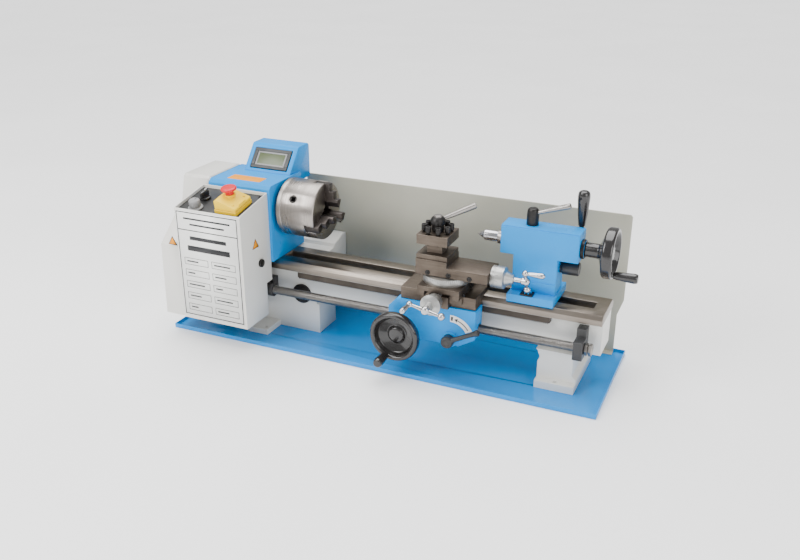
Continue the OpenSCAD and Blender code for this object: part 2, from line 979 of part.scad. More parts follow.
module apron_handle() {
    color("black")
        turned_y(0, handle_xz, [
            [0, 118.3], [5, 118.3], [6.5, 124], [7.5, 138], [8, 148], [6.5, 153], [0, 153]
        ]);
}

module apron_gear() {
    gear_phase = mesh_phase(90, wheel_teeth, apron_teeth, 90);
    color("gray") {
        ygear(apron_teeth, gear_m, apron_gear_yc, [wheel_xz[0], apron_gear_z], gear_phase, 4);
        ygear(rack_teeth, gear_m, [-half_w + 1, -web_out - 1], [wheel_xz[0], apron_gear_z], 90, 4);
        ybar([apron_front + 0.5, -web_out - 1], [wheel_xz[0], apron_gear_z], 4);
    }
}

// Half of the split nut; side 1 is above the leadscrew and -1 below, shown open
module half_nut(side) {
    color("goldenrod")
    translate([0, 0, side * nut_open])
        difference() {
            block(nut_x, [-62, -46], side > 0 ? [screw_z + 0.05, 112] : [66, screw_z - 0.05]);
            xbar([nut_x[0] - 1, nut_x[1] + 1], screw_yz, screw_r + fit);
        }
}

module half_nut_upper() {
    half_nut(1);
}

module half_nut_lower() {
    half_nut(-1);
}

module half_nut_lever() {
    color("black") {
        ybar([-92, -64], lever_xz, 5);
        ybar([-71.5, -64], lever_xz, 7.5);
        ybar([-96, -82.3], lever_xz, 10);
        rod([lever_xz[0], -90, lever_xz[1]], [183, -90, 92], 4);
        translate([184, -90, 92.5])
            sphere(r = 5.5);
    }
}

module cross_slide() {
    color("gray")
    difference() {
        union() {
            block(cross_x, cross_y, cross_z);
            // nut of the cross screw
            block([swivel_xy[0] - 5.6, swivel_xy[0] + 5.6], [-20, -4], [135.6, cross_z[0] + 1]);
        }
        block([cross_x[0] + 11.7, cross_x[1] - 11.7], [cross_y[0] - 1, -20], [cross_z[0] - 1, 150.3]);
        block([cross_x[0] + 11.7, cross_x[1] - 11.7], [-4, cross_y[1] + 1], [cross_z[0] - 1, 150.3]);
        block([cross_x[0] + 11.7, swivel_xy[0] - 5.6], [-21, -3], [cross_z[0] - 1, 150.3]);
        block([swivel_xy[0] + 5.6, cross_x[1] - 11.7], [-21, -3], [cross_z[0] - 1, 150.3]);
        ybar([-30, 5], [swivel_xy[0], cross_screw_z], 4 + fit);
        // gib screw holes
        for (y = [-75, -35, 5])
            xbar([cross_x[1] - 8, cross_x[1] + 1], [y, 147], 2);
    }
}

// Crank with two balls and a slanted handle, pointing forward along +Z
module ball_crank(hub, reach, turn) {
    rotate([0, 0, turn]) {
        translate([0, 0, hub])
            sphere(r = 6.5);
        translate([-reach, 0, hub])
            sphere(r = 5);
        translate([reach, 0, hub])
            sphere(r = 6);
        translate([-reach, 0, hub])
            rotate([0, 90, 0])
                cylinder(h = 2 * reach, r = 2.8);
        translate([-reach, 0, hub])
            cylinder(h = 26, r1 = 2.6, r2 = 4.8);
        translate([-reach, 0, hub + 26])
            sphere(r = 4.8);
    }
}

module cross_crank() {
    color("silver")
    translate([swivel_xy[0], 0, cross_screw_z])
        rotate([90, 0, 0]) {
            translate([0, 0, -30])
                cylinder(h = 160, r = 4);
            translate([0, 0, 99])
                cylinder(h = 20, r1 = 13, r2 = 17);
            translate([0, 0, 119])
                cylinder(h = 14, r = 7);
            ball_crank(138, 27, -12);
        }
}

module compound_base() {
    c = swivel_xy;
    color("silver")
    difference() {
        union() {
            zbar([cross_z[1], 170], c, 38);
            block([c[0] - 37, c[0] + 38], [c[1] - 17, c[1] + 17], [166, 178]);
        }
        difference() {
            block([slide_x[0] - 10, slide_x[1] + 10], [c[1] - 6, c[1] + 6], [170, 190]);
            block([100, 112], [c[1] - 7, c[1] + 7], [169, 191]);
        }
        xbar([90, 120], [c[1], top_screw_z], 4 + fit);
    }
}

module compound_slide() {
    c = swivel_xy;
    color("gray")
    difference() {
        union() {
            block(slide_x, slide_y, slide_z);
            block([slide_x[0], slide_x[0] + post_w], slide_y, [slide_z[0], post_z[0]]);
            zbar([post_z[0] - 1, 262], post_xy, 6);
        }
        block([slide_x[0] - 1, slide_x[1] - 12], [c[1] - 17.3, c[1] + 17.3], [slide_z[0] - 1, 178.4]);
        block([slide_x[0] - 1, slide_x[1] - 12], [c[1] - 6.2, c[1] + 6.2], [slide_z[0] - 1, 181.5]);
        xbar([slide_x[1] - 13, slide_x[1] + 1], [c[1], top_screw_z], 4 + fit);
        for (x = [95, 130, 165])
            ybar([slide_y[0] - 1, slide_y[0] + 5], [x, 176], 2.5);
    }
}

module compound_crank() {
    color("silver")
    translate([0, swivel_xy[1], top_screw_z])
        rotate([0, 90, 0]) {
            translate([0, 0, slide_x[0] + 14])
                cylinder(h = 248.5 - slide_x[0] - 14, r = 4);
            translate([0, 0, slide_x[1] + gap])
                cylinder(h = 20, r = 18);
            translate([0, 0, slide_x[1] + 20])
                cylinder(h = 14, r1 = 12, r2 = 7);
            ball_crank(248, 18, 25);
        }
}

module toolpost() {
    h = post_w / 2;
    x = [post_xy[0] - h, post_xy[0] + h];
    y = [post_xy[1] - h, post_xy[1] + h];
    color("gray")
    difference() {
        union() {
            block(x, y, [post_z[0] + 0.1, post_z[1]]);
            block([x[0] + 13, x[1] - 13], [y[0] + 13, y[1] - 13], [post_z[1], post_z[2]]);
            block(x, y, [post_z[2], post_z[3]]);
        }
        zbar([post_z[0] - 1, post_z[3] + 1], post_xy, 6 + fit);
        for (p = bolt_places())
            zbar([post_z[2] - 1, post_z[3] + 1], p, 3);
    }
}

// Two clamp bolts along each side of the tool post
function bolt_places() = [
    for (a = [0 : 90 : 270], s = [-1, 1])
        post_xy + [cos(a) * 19.5 - sin(a) * s * 8.5, sin(a) * 19.5 + cos(a) * s * 8.5]
];

module toolpost_bolts() {
    color("black")
    for (p = bolt_places()) {
        zbar([219, 240], p, 3);
        translate([p[0], p[1], 240])
            screw_head(4.6, 9);
    }
}

module toolpost_lever() {
    color("black")
    difference() {
        union() {
            zbar([post_z[3] + 0.1, 262], post_xy, 9.5);
            rod([post_xy[0], post_xy[1], 254], [148, -7, 273], 4.6);
        }
        zbar([post_z[3] - 1, 263], post_xy, 6 + fit);
    }
}

// ---- tailstock ----

module tailstock_base() {
    color("deepskyblue")
    difference() {
        union() {
            block([215, 290], [-41, 41], [bed_top, 147]);
            block([232, 270], [-11.5, 11.5], [bed_top - way_h, bed_top]);
        }
        along_x([214, 291])
            for (s = [-1, 1])
                polygon([
                    [s * (half_w + 1), bed_top - 1], [s * (half_w + 1), bed_top + 1],
                    [s * half_w, bed_top + 0.2], [s * 30, bed_top + 0.2], [s * 30, bed_top - 1]
                ]);
    }
    // clamp plate under the ways
    color("dimgray") {
        block([225, 277], [-20, 20], [107, 117.5]);
    }
    // clamp block and nut at the front of the base
    color("black") {
        block([236, 256], [-40, -24], [147, 149.5]);
        translate([246, -31, 149.5])
            cylinder(h = 4, r = 6.5, $fn = 6);
    }
}

module tailstock_body() {
    r = quill_d / 2;
    color("deepskyblue")
    difference() {
        union() {
            block(barrel_x, [-20, 20], [206, 250]);
            block([barrel_x[0], barrel_x[1]], [-18, 18], [250, 252]);
            along_y([-20, 20])
                polygon([[217, 147], [287, 147], [287, 206], [217, 206]]);
            block([217, 287], [-22, 22], [147, 165]);
        }
        xbar([barrel_x[0] - 1, barrel_x[1] + 1], spindle_yz, r + fit);
        zbar([230, 253], [239, 0], 5 + fit);
        // shaft of the clamp
        xbar([255, 290], [8, 186], 9 + fit);
    }
    // end cap of the barrel
    color("black")
    difference() {
        xbar([barrel_x[1], barrel_x[1] + 6], spindle_yz, 14.5);
        xbar([barrel_x[1] - 1, barrel_x[1] + 7], spindle_yz, 5.5);
    }
}

module quill() {
    r = quill_d / 2;
    color("silver")
    difference() {
        xbar([186, 300], spindle_yz, r);
        xbar([185, 235], spindle_yz, 8);
        xbar([234, 301], spindle_yz, 5.5);
        // keyway under the lock
        block([210, 290], [-2, 2], [axis_z + r - 2, axis_z + r + 1]);
    }
}

module dead_centre() {
    color("silver")
        turned_x(spindle_yz, [[0, centre_tip], [6.5, centre_tip + 11.5], [8.5, centre_tip + 13], [8.5, 183],
            [8, 184], [8, 228], [0, 228]]);
}

module tailstock_handwheel() {
    r = tail_wheel_d / 2;
    x = tail_wheel_x;
    color([0.1, 0.1, 0.1]) {
        turned_x(spindle_yz, [
            [0, x - 4], [0, barrel_x[1] + 6.3], [11.5, barrel_x[1] + 6.3], [11.5, x - 26], [15, x - 24],
            [r - 9, x - 18], [r - 6, x - 17], [r - 2, x - 17], [r, x - 14], [r, x - 3], [r - 2, x],
            [r - 6, x], [r - 8, x - 3], [r - 11, x - 9], [15, x - 12], [10, x - 4]
        ]);
        xbar([238, barrel_x[1] + 6.3], spindle_yz, 5);
    }
}

module tailstock_handle() {
    color("black")
    turned_x(tail_handle_yz, [
        [0, tail_wheel_x + gap], [5, tail_wheel_x + gap], [6.5, tail_wheel_x + 8], [8, tail_wheel_x + 34],
        [6.5, tail_wheel_x + 38], [0, tail_wheel_x + 38]
    ]);
}

module quill_lock() {
    color("black") {
        zbar([axis_z + quill_d / 2 + gap, 252.3], [239, 0], 5);
        zbar([252.3, 279], [239, 0], 9.5);
        rod([239, 0, 270], [297, 0, 290], 4.4);
    }
}

module clamp_lever() {
    color("black") {
        xbar([256, 290.3], [8, 186], 9);
        xbar([290.3, 317], [8, 186], 11);
        rod([309, 8, 186], [309, 32, 204], 4);
        translate([309, 32, 204])
            sphere(r = 4);
        zbar([204, 252], [309, 32], 4);
        translate([309, 32, 250])
            rotate_extrude()
                polygon([[0, 0], [5.5, 0], [7, 14], [9.5, 42], [9.8, 49], [8, 54], [5, 57], [0, 57]]);
    }
}

chip_tray();
splash_guard();
bed();
feed_rack();
plugs_and_screws();
headstock();
display_housing();
display_window();
spindle();
spindle_bearings();
layshaft();
drive_belt();
motor();
motor_pulley();
motor_cover();
gear_cover();
cast_brackets();
tumbler_gear();
stud_gear();
banjo_gear();
leadscrew();
control_box();
control_panel();
speed_knob();
direction_knob();
range_lever();
estop_cover();
estop_button();
chuck_body();
chuck_scroll();
chuck_pinion_1();
chuck_pinion_2();
chuck_pinion_3();
chuck_jaw_1();
chuck_jaw_2();
chuck_jaw_3();
carriage_saddle();
apron();
apron_handwheel();
apron_handle();
apron_gear();
half_nut_upper();
half_nut_lower();
half_nut_lever();
cross_slide();
cross_crank();
compound_base();
compound_slide();
compound_crank();
toolpost();
toolpost_bolts();
toolpost_lever();
tailstock_base();
tailstock_body();
quill();
dead_centre();
tailstock_handwheel();
tailstock_handle();
quill_lock();
clamp_lever();
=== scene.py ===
"""Looks of the bench metal lathe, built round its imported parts.

Sizes in the classes are in millimetres in the part's own frame: X along the bed towards the
tailstock, Y from the operator to the rear, Z up, and the origin under the middle of the chip tray.
"""

import logging
import math
from collections.abc import Sequence
from dataclasses import dataclass
from enum import Enum

import bmesh
import bpy
from mathutils import Matrix, Vector


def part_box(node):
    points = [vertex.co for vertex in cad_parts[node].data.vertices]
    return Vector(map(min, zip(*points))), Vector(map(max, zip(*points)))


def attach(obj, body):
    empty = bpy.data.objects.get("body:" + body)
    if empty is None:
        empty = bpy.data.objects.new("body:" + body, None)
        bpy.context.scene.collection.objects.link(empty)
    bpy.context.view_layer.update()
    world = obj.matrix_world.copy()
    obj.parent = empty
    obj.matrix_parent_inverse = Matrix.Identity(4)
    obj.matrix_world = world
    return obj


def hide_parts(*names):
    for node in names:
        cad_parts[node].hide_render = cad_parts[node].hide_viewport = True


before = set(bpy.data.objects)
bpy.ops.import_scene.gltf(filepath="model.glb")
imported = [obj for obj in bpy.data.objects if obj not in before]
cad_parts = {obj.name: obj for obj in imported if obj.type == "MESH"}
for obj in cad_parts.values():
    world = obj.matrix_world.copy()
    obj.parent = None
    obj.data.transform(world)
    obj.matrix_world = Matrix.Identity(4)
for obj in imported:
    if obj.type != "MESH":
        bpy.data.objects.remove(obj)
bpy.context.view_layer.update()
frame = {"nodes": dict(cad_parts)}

LOG = logging.getLogger("lathe")
MM = 0.001
AXIS_Z = 224.0
CRISP_OVER = 34.0
WELD_WITHIN = 1e-6
Point = tuple[float, float, float]
Outline = Sequence[tuple[float, float]]
Colour = tuple[float, float, float]
Mesh = bmesh.types.BMesh
Material = bpy.types.Material
Node = bpy.types.Node
Socket = bpy.types.NodeSocket
Thing = bpy.types.Object
Tree = bpy.types.NodeTree


class Finish(Enum):
    """Every finish on the lathe, by its use."""

    BLUE = "blue_paint"
    WHITE = "white_paint"
    TRAY = "tray_paint"
    GUARD = "guard_paint"
    BED = "bed_paint_and_ways"
    STEEL = "ground_steel"
    IRON = "ground_iron"
    RACK = "dark_rack"
    CHUCK = "chuck_steel"
    JAW = "jaw_steel"
    OXIDE = "black_oxide"
    BLACK_IRON = "black_iron"
    CHROME = "bright_chrome"
    GEAR = "gear_steel"
    BRONZE = "bronze"
    BLACK_PLASTIC = "black_plastic"
    PANEL = "panel_black"
    YELLOW = "yellow_plastic"
    RED = "red_plastic"
    KNOB = "knob_grey"
    BEZEL = "display_dark"
    GLASS = "display_glass"
    RUBBER = "belt_rubber"
    MOTOR = "motor_paint"
    DIAL = "dial_aluminium"
    INK = "label_ink"
    PLATE = "label_plate"
    ORANGE = "label_orange"


class Axis(Enum):
    """The line that a turned piece is made round."""

    X = (1.0, 0.0, 0.0)
    BACK = (0.0, 1.0, 0.0)
    FRONT = (0.0, -1.0, 0.0)
    Z = (0.0, 0.0, 1.0)


# ---- shader graphs ----


class Graph:
    """Adds and links nodes in one node tree."""

    def __init__(self, tree: Tree) -> None:
        """Keeps the tree.

        Args:
            tree: The node tree to fill.
        """
        self.tree = tree

    def add(self, kind: str, values: dict | None = None, **settings: object) -> Node:
        """Adds one node.

        Args:
            kind: The node's type name.
            values: Input name or number to a constant or to another node's output socket.
            **settings: Attributes to set on the node, such as operation.

        Returns:
            The new node.
        """
        node = self.tree.nodes.new(kind)
        for name, value in settings.items():
            setattr(node, name, value)
        self.fill(node, values or {})
        return node

    def fill(self, node: Node, values: dict) -> None:
        """Sets or links a node's inputs.

        Args:
            node: The node.
            values: Input name or number to a constant or to another node's output socket.
        """
        for key, value in values.items():
            if isinstance(value, Socket):
                self.tree.links.new(value, node.inputs[key])
            else:
                node.inputs[key].default_value = value

    def math(self, operation: str, a: object, b: object = 0.0, clamp: bool = False) -> Socket:
        """One sum on two numbers.

        Args:
            operation: Blender's name of the operation.
            a: First number or socket.
            b: Second number or socket.
            clamp: Whether the answer stays between 0 and 1.

        Returns:
            The answer's socket.
        """
        node = self.add("ShaderNodeMath", {0: a, 1: b}, operation=operation, use_clamp=clamp)
        return node.outputs[0]

    def ramp(self, value: object, low: float, high: float, to_low: float, to_high: float) -> Socket:
        """Maps a range of numbers smoothly onto another.

        Args:
            value: The socket to map.
            low: Where the source range starts.
            high: Where the source range ends.
            to_low: The answer at the start.
            to_high: The answer at the end.

        Returns:
            The answer's socket.
        """
        node = self.add(
            "ShaderNodeMapRange",
            {"Value": value, "From Min": low, "From Max": high, "To Min": to_low, "To Max": to_high},
            interpolation_type="SMOOTHSTEP",
        )
        return node.outputs["Result"]

    def mix(self, share: object, a: object, b: object, blend: str = "MIX") -> Socket:
        """Mixes two colours.

        Args:
            share: How much of the second colour shows.
            a: First colour or socket.
            b: Second colour or socket.
            blend: Blender's name of the blend.

        Returns:
            The mixed colour's socket.
        """
        node = self.add("ShaderNodeMix", data_type="RGBA", blend_type=blend)
        one, two = ((*c, 1.0) if isinstance(c, tuple) else c for c in (a, b))
        self.fill(node, {0: share, 6: one, 7: two})
        return node.outputs[2]

    def place(self) -> Socket:
        """The point on the piece, in metres, in the part's own frame."""
        return self.add("ShaderNodeTexCoord").outputs["Object"]

    def noise(self, place: object, scale: float, detail: float = 4.0, rough: float = 0.55) -> Socket:
        """A cloudy pattern.

        Args:
            place: Where the pattern is read.
            scale: How fine it is, in features per metre.
            detail: How many finer layers it has.
            rough: How strong the finer layers are.

        Returns:
            The pattern's value socket.
        """
        values = {"Vector": place, "Scale": scale, "Detail": detail, "Roughness": rough}
        return self.add("ShaderNodeTexNoise", values).outputs[0]


def new_group(name: str, inputs: dict[str, tuple[str, object]], outputs: dict[str, str]) -> tuple:
    """Starts a shader node group.

    Args:
        name: The group's name.
        inputs: Socket name to its type and first value.
        outputs: Socket name to its type.

    Returns:
        The group, its graph, its input node and its output node.
    """
    tree = bpy.data.node_groups.new(name, "ShaderNodeTree")
    for label, (kind, value) in inputs.items():
        socket = tree.interface.new_socket(label, in_out="INPUT", socket_type=kind)
        socket.default_value = value
    for label, kind in outputs.items():
        tree.interface.new_socket(label, in_out="OUTPUT", socket_type=kind)
    graph = Graph(tree)
    return tree, graph, graph.add("NodeGroupInput"), graph.add("NodeGroupOutput")


class Effects:
    """The effects that several finishes share, each one a node group made once."""

    def __init__(self) -> None:
        """Makes all the groups."""
        self.wear = self._wear()
        self.mottle = self._mottle()
        self.scratches = self._scratches()
        self.rings = self._rings()
        self.skin = self._skin()

    def _wear(self) -> Tree:
        """A mask that is 1 along edges, for rubbed wear and for the painted edge highlight of the blue
        paints, with a rounded normal for them.
        """
        tree, g, given, out = new_group(
            "edge_wear",
            {"Radius": ("NodeSocketFloat", 0.0008), "Amount": ("NodeSocketFloat", 0.5)},
            {"Mask": "NodeSocketFloat", "Normal": "NodeSocketVector"},
        )
        bevel = g.add("ShaderNodeBevel", {"Radius": given.outputs["Radius"]}, samples=6)
        flat = g.add("ShaderNodeNewGeometry").outputs["Normal"]
        dot = g.add("ShaderNodeVectorMath", {0: bevel.outputs[0], 1: flat}, operation="DOT_PRODUCT")
        edge = g.ramp(dot.outputs["Value"], 0.985, 0.86, 0.0, 1.0)
        patchy = g.ramp(g.noise(g.place(), 90.0, 5.0, 0.65), 0.42, 0.66, 0.15, 1.0)
        mask = g.math("MULTIPLY", g.math("MULTIPLY", edge, patchy), given.outputs["Amount"], True)
        tree.links.new(mask, out.inputs["Mask"])
        tree.links.new(bevel.outputs[0], out.inputs["Normal"])
        return tree

    def _mottle(self) -> Tree:
        """A colour that drifts darker in clouds, and the cloud itself."""
        tree, g, given, out = new_group(
            "mottle",
            {
                "Colour": ("NodeSocketColor", (0.5, 0.5, 0.5, 1.0)),
                "Dark": ("NodeSocketColor", (0.3, 0.3, 0.3, 1.0)),
                "Scale": ("NodeSocketFloat", 20.0),
                "Amount": ("NodeSocketFloat", 0.3),
            },
            {"Colour": "NodeSocketColor", "Cloud": "NodeSocketFloat"},
        )
        noise = g.add(
            "ShaderNodeTexNoise", {"Vector": g.place(), "Scale": given.outputs["Scale"], "Detail": 6.0},
        )
        cloud = g.ramp(noise.outputs[0], 0.35, 0.68, 0.0, 1.0)
        share = g.math("MULTIPLY", cloud, given.outputs["Amount"], True)
        colour = g.mix(share, given.outputs["Colour"], given.outputs["Dark"])
        tree.links.new(colour, out.inputs["Colour"])
        tree.links.new(cloud, out.inputs["Cloud"])
        return tree

    def _scratches(self) -> Tree:
        """Long fine lines left by grinding, along the direction that Stretch keeps small."""
        tree, g, given, out = new_group(
            "ground_lines",
            {"Stretch": ("NodeSocketVector", (1.0, 1.0, 1.0))},
            {"Height": "NodeSocketFloat", "Shade": "NodeSocketFloat"},
        )
        scaled = g.add(
            "ShaderNodeVectorMath", {0: g.place(), 1: given.outputs["Stretch"]}, operation="MULTIPLY",
        )
        fine = g.noise(scaled.outputs[0], 1.0, 3.0, 0.6)
        coarse = g.add(
            "ShaderNodeVectorMath", {0: scaled.outputs[0], 1: (0.23, 0.23, 0.23)}, operation="MULTIPLY",
        )
        wide = g.noise(coarse.outputs[0], 1.0, 2.0, 0.5)
        both = g.math("ADD", g.math("MULTIPLY", fine, 0.6), g.math("MULTIPLY", wide, 0.4))
        tree.links.new(both, out.inputs["Height"])
        tree.links.new(g.ramp(both, 0.36, 0.64, 0.0, 1.0), out.inputs["Shade"])
        return tree

    def _rings(self) -> Tree:
        """Fine rings left by turning, round the line through Centre along Line."""
        tree, g, given, out = new_group(
            "turned_rings",
            {
                "Centre": ("NodeSocketVector", (0.0, 0.0, 0.0)),
                "Line": ("NodeSocketVector", (1.0, 0.0, 0.0)),
                "Pitch": ("NodeSocketFloat", 0.0006),
            },
            {"Height": "NodeSocketFloat", "Shade": "NodeSocketFloat"},
        )
        away = g.add(
            "ShaderNodeVectorMath", {0: g.place(), 1: given.outputs["Centre"]}, operation="SUBTRACT",
        )
        along = g.add(
            "ShaderNodeVectorMath", {0: away.outputs[0], 1: given.outputs["Line"]}, operation="DOT_PRODUCT",
        )
        whole = g.add("ShaderNodeVectorMath", {0: away.outputs[0]}, operation="LENGTH")
        square = g.math("MULTIPLY", whole.outputs["Value"], whole.outputs["Value"])
        flat = g.math("MULTIPLY", along.outputs["Value"], along.outputs["Value"])
        radius = g.math("SQRT", g.math("MAXIMUM", g.math("SUBTRACT", square, flat), 0.0))
        both = g.add("ShaderNodeCombineXYZ", {"X": along.outputs["Value"], "Y": radius})
        steps = g.math("DIVIDE", 1.0, given.outputs["Pitch"])
        fine = g.add("ShaderNodeTexNoise", {"Vector": both.outputs[0], "Scale": steps, "Detail": 2.0})
        broad = g.noise(both.outputs[0], 160.0, 3.0)
        total = g.math("ADD", g.math("MULTIPLY", fine.outputs[0], 0.65), g.math("MULTIPLY", broad, 0.35))
        tree.links.new(total, out.inputs["Height"])
        tree.links.new(g.ramp(total, 0.38, 0.62, 0.0, 1.0), out.inputs["Shade"])
        return tree

    def _skin(self) -> Tree:
        """The fine relief of a sprayed or cast surface."""
        tree, g, given, out = new_group(
            "skin",
            {"Scale": ("NodeSocketFloat", 300.0), "Waves": ("NodeSocketFloat", 40.0)},
            {"Height": "NodeSocketFloat"},
        )
        place = g.place()
        pores = g.add(
            "ShaderNodeTexNoise", {"Vector": place, "Scale": given.outputs["Scale"], "Detail": 3.0},
        )
        waves = g.add(
            "ShaderNodeTexNoise", {"Vector": place, "Scale": given.outputs["Waves"], "Detail": 2.0},
        )
        total = g.math("ADD", g.math("MULTIPLY", pores.outputs[0], 0.35), waves.outputs[0])
        tree.links.new(total, out.inputs["Height"])
        return tree


def use_group(g: Graph, tree: Tree, values: dict | None = None) -> Node:
    """Places a shared group in a material.

    Args:
        g: The material's graph.
        tree: The shared group.
        values: Input name to value or socket.

    Returns:
        The group's node.
    """
    node = g.add("ShaderNodeGroup", node_tree=tree)
    g.fill(node, values or {})
    return node


def shade(colour: Colour, share: float) -> tuple[float, float, float, float]:
    """The colour made darker by a share, with its alpha."""
    return (*(min(1.0, c * share) for c in colour), 1.0)


def cloudy(
    g: Graph, effects: Effects, colour: Colour, dark: Colour | float, scale: float, amount: float,
) -> Node:
    """Places the mottle group with a colour and its darker cloud.

    Args:
        g: The material's graph.
        effects: The shared groups.
        colour: The main colour.
        dark: The cloud's colour, or the share of the main colour that it has.
        scale: How fine the clouds are, in features per metre.
        amount: How much the clouds show.

    Returns:
        The group's node.
    """
    deep = shade(colour, dark) if isinstance(dark, float) else (*dark, 1.0)
    return use_group(
        g, effects.mottle, {"Colour": (*colour, 1.0), "Dark": deep, "Scale": scale, "Amount": amount},
    )


def blank_material(name: str) -> tuple[Material, Graph, Node]:
    """A new material with only its main shader.

    Args:
        name: The material's name.

    Returns:
        The material, its graph and its Principled shader.
    """
    material = bpy.data.materials.new(name)
    material.use_nodes = True
    material.node_tree.nodes.clear()
    g = Graph(material.node_tree)
    main = g.add("ShaderNodeBsdfPrincipled")
    end = g.add("ShaderNodeOutputMaterial")
    material.node_tree.links.new(main.outputs[0], end.inputs["Surface"])
    return material, g, main


def relief(g: Graph, main: Node, height: object, strength: float, depth: float, normal: object) -> None:
    """Feeds a bump to the shader's normal.

    Args:
        g: The material's graph.
        main: The Principled shader.
        height: The relief's socket.
        strength: How strongly it shows.
        depth: How deep it is, in metres.
        normal: The normal that it starts from.
    """
    bump = g.add(
        "ShaderNodeBump", {"Height": height, "Normal": normal, "Strength": strength, "Distance": depth},
    )
    g.tree.links.new(bump.outputs[0], main.inputs["Normal"])


@dataclass(frozen=True)
class Paint:
    """A sprayed coat on metal, worn to primer or metal along its edges; on the blue and tray paints the
    edges are instead a lighter blue, a painted highlight.
    """

    colour: Colour
    roughness: float = 0.3
    coat: float = 0.4
    drift: float = 0.25
    wear: float = 0.35
    edge_wear_and_highlight_colour: Colour = (0.32, 0.31, 0.30)
    edge: float = 0.0009
    waves: float = 0.06
    gleam: float = 0.5

    def build(self, name: str, effects: Effects) -> Material:
        """Makes the material.

        Args:
            name: The material's name.
            effects: The shared groups.

        Returns:
            The material.
        """
        material, g, main = blank_material(name)
        mottle = cloudy(g, effects, self.colour, 0.8, 9.0, self.drift)
        wear = use_group(g, effects.wear, {"Radius": self.edge, "Amount": self.wear})
        # Edges turn to the edge colour: worn-through primer or metal on most paints, and a lighter blue
        # painted highlight on the blue and tray paints.
        colour = g.mix(wear.outputs["Mask"], mottle.outputs["Colour"], self.edge_wear_and_highlight_colour)
        g.tree.links.new(colour, main.inputs["Base Color"])
        base = g.ramp(mottle.outputs["Cloud"], 0.0, 1.0, self.roughness, self.roughness + 0.1)
        g.tree.links.new(
            g.math("ADD", base, g.math("MULTIPLY", wear.outputs["Mask"], 0.25)), main.inputs["Roughness"],
        )
        main.inputs["Coat Weight"].default_value = self.coat
        main.inputs["Coat Roughness"].default_value = 0.12
        main.inputs["Specular IOR Level"].default_value = self.gleam
        skin = use_group(g, effects.skin, {"Scale": 420.0, "Waves": 60.0})
        relief(g, main, skin.outputs["Height"], 0.35, self.waves * MM, wear.outputs["Normal"])
        return material


@dataclass(frozen=True)
class Metal:
    """Bare metal with grinding lines or turned rings, brighter where its edges are rubbed."""

    colour: Colour
    roughness: float = 0.3
    metallic: float = 1.0
    dark: float = 0.72
    drift: float = 0.4
    wear: float = 0.4
    bright: Colour = (0.8, 0.79, 0.77)
    lines: Point = (60.0, 2600.0, 2600.0)
    centre: Point | None = None
    line: Point = (1.0, 0.0, 0.0)
    depth: float = 0.02
    edge: float = 0.0006

    def build(self, name: str, effects: Effects) -> Material:
        """Makes the material.

        Args:
            name: The material's name.
            effects: The shared groups.

        Returns:
            The material.
        """
        material, g, main = blank_material(name)
        mottle = cloudy(g, effects, self.colour, self.dark, 26.0, self.drift)
        if self.centre is not None:
            place = tuple(c * MM for c in self.centre)
            marks = use_group(g, effects.rings, {"Centre": place, "Line": self.line, "Pitch": 0.0007})
        else:
            marks = use_group(g, effects.scratches, {"Stretch": self.lines})
        lined = g.mix(g.math("MULTIPLY", marks.outputs["Shade"], 0.3), mottle.outputs["Colour"],
                      shade(self.colour, self.dark)[:3])
        wear = use_group(g, effects.wear, {"Radius": self.edge, "Amount": self.wear})
        g.tree.links.new(g.mix(wear.outputs["Mask"], lined, self.bright), main.inputs["Base Color"])
        main.inputs["Metallic"].default_value = self.metallic
        rough = g.ramp(marks.outputs["Shade"], 0.0, 1.0, self.roughness, self.roughness + 0.12)
        cloud = g.math("MULTIPLY", mottle.outputs["Cloud"], 0.08)
        g.tree.links.new(g.math("ADD", rough, cloud), main.inputs["Roughness"])
        relief(g, main, marks.outputs["Height"], 0.3, self.depth * MM, wear.outputs["Normal"])
        return material


@dataclass(frozen=True)
class Plastic:
    """Moulded plastic or rubber with a fine grain and rubbed corners."""

    colour: Colour
    roughness: float = 0.3
    coat: float = 0.0
    drift: float = 0.2
    wear: float = 0.25
    rubbed: float = 1.5
    grain: float = 900.0
    depth: float = 0.03
    gleam: float = 0.5

    def build(self, name: str, effects: Effects) -> Material:
        """Makes the material.

        Args:
            name: The material's name.
            effects: The shared groups.

        Returns:
            The material.
        """
        material, g, main = blank_material(name)
        main.inputs["Specular IOR Level"].default_value = self.gleam
        mottle = cloudy(g, effects, self.colour, 0.75, 40.0, self.drift)
        wear = use_group(g, effects.wear, {"Radius": 0.0006, "Amount": self.wear})
        light = tuple(min(1.0, c * self.rubbed + 0.03) for c in self.colour)
        g.tree.links.new(
            g.mix(wear.outputs["Mask"], mottle.outputs["Colour"], light), main.inputs["Base Color"],
        )
        rough = g.ramp(mottle.outputs["Cloud"], 0.0, 1.0, self.roughness, self.roughness + 0.12)
        g.tree.links.new(rough, main.inputs["Roughness"])
        main.inputs["Coat Weight"].default_value = self.coat
        skin = use_group(g, effects.skin, {"Scale": self.grain, "Waves": 120.0})
        relief(g, main, skin.outputs["Height"], 0.3, self.depth * MM, wear.outputs["Normal"])
        return material


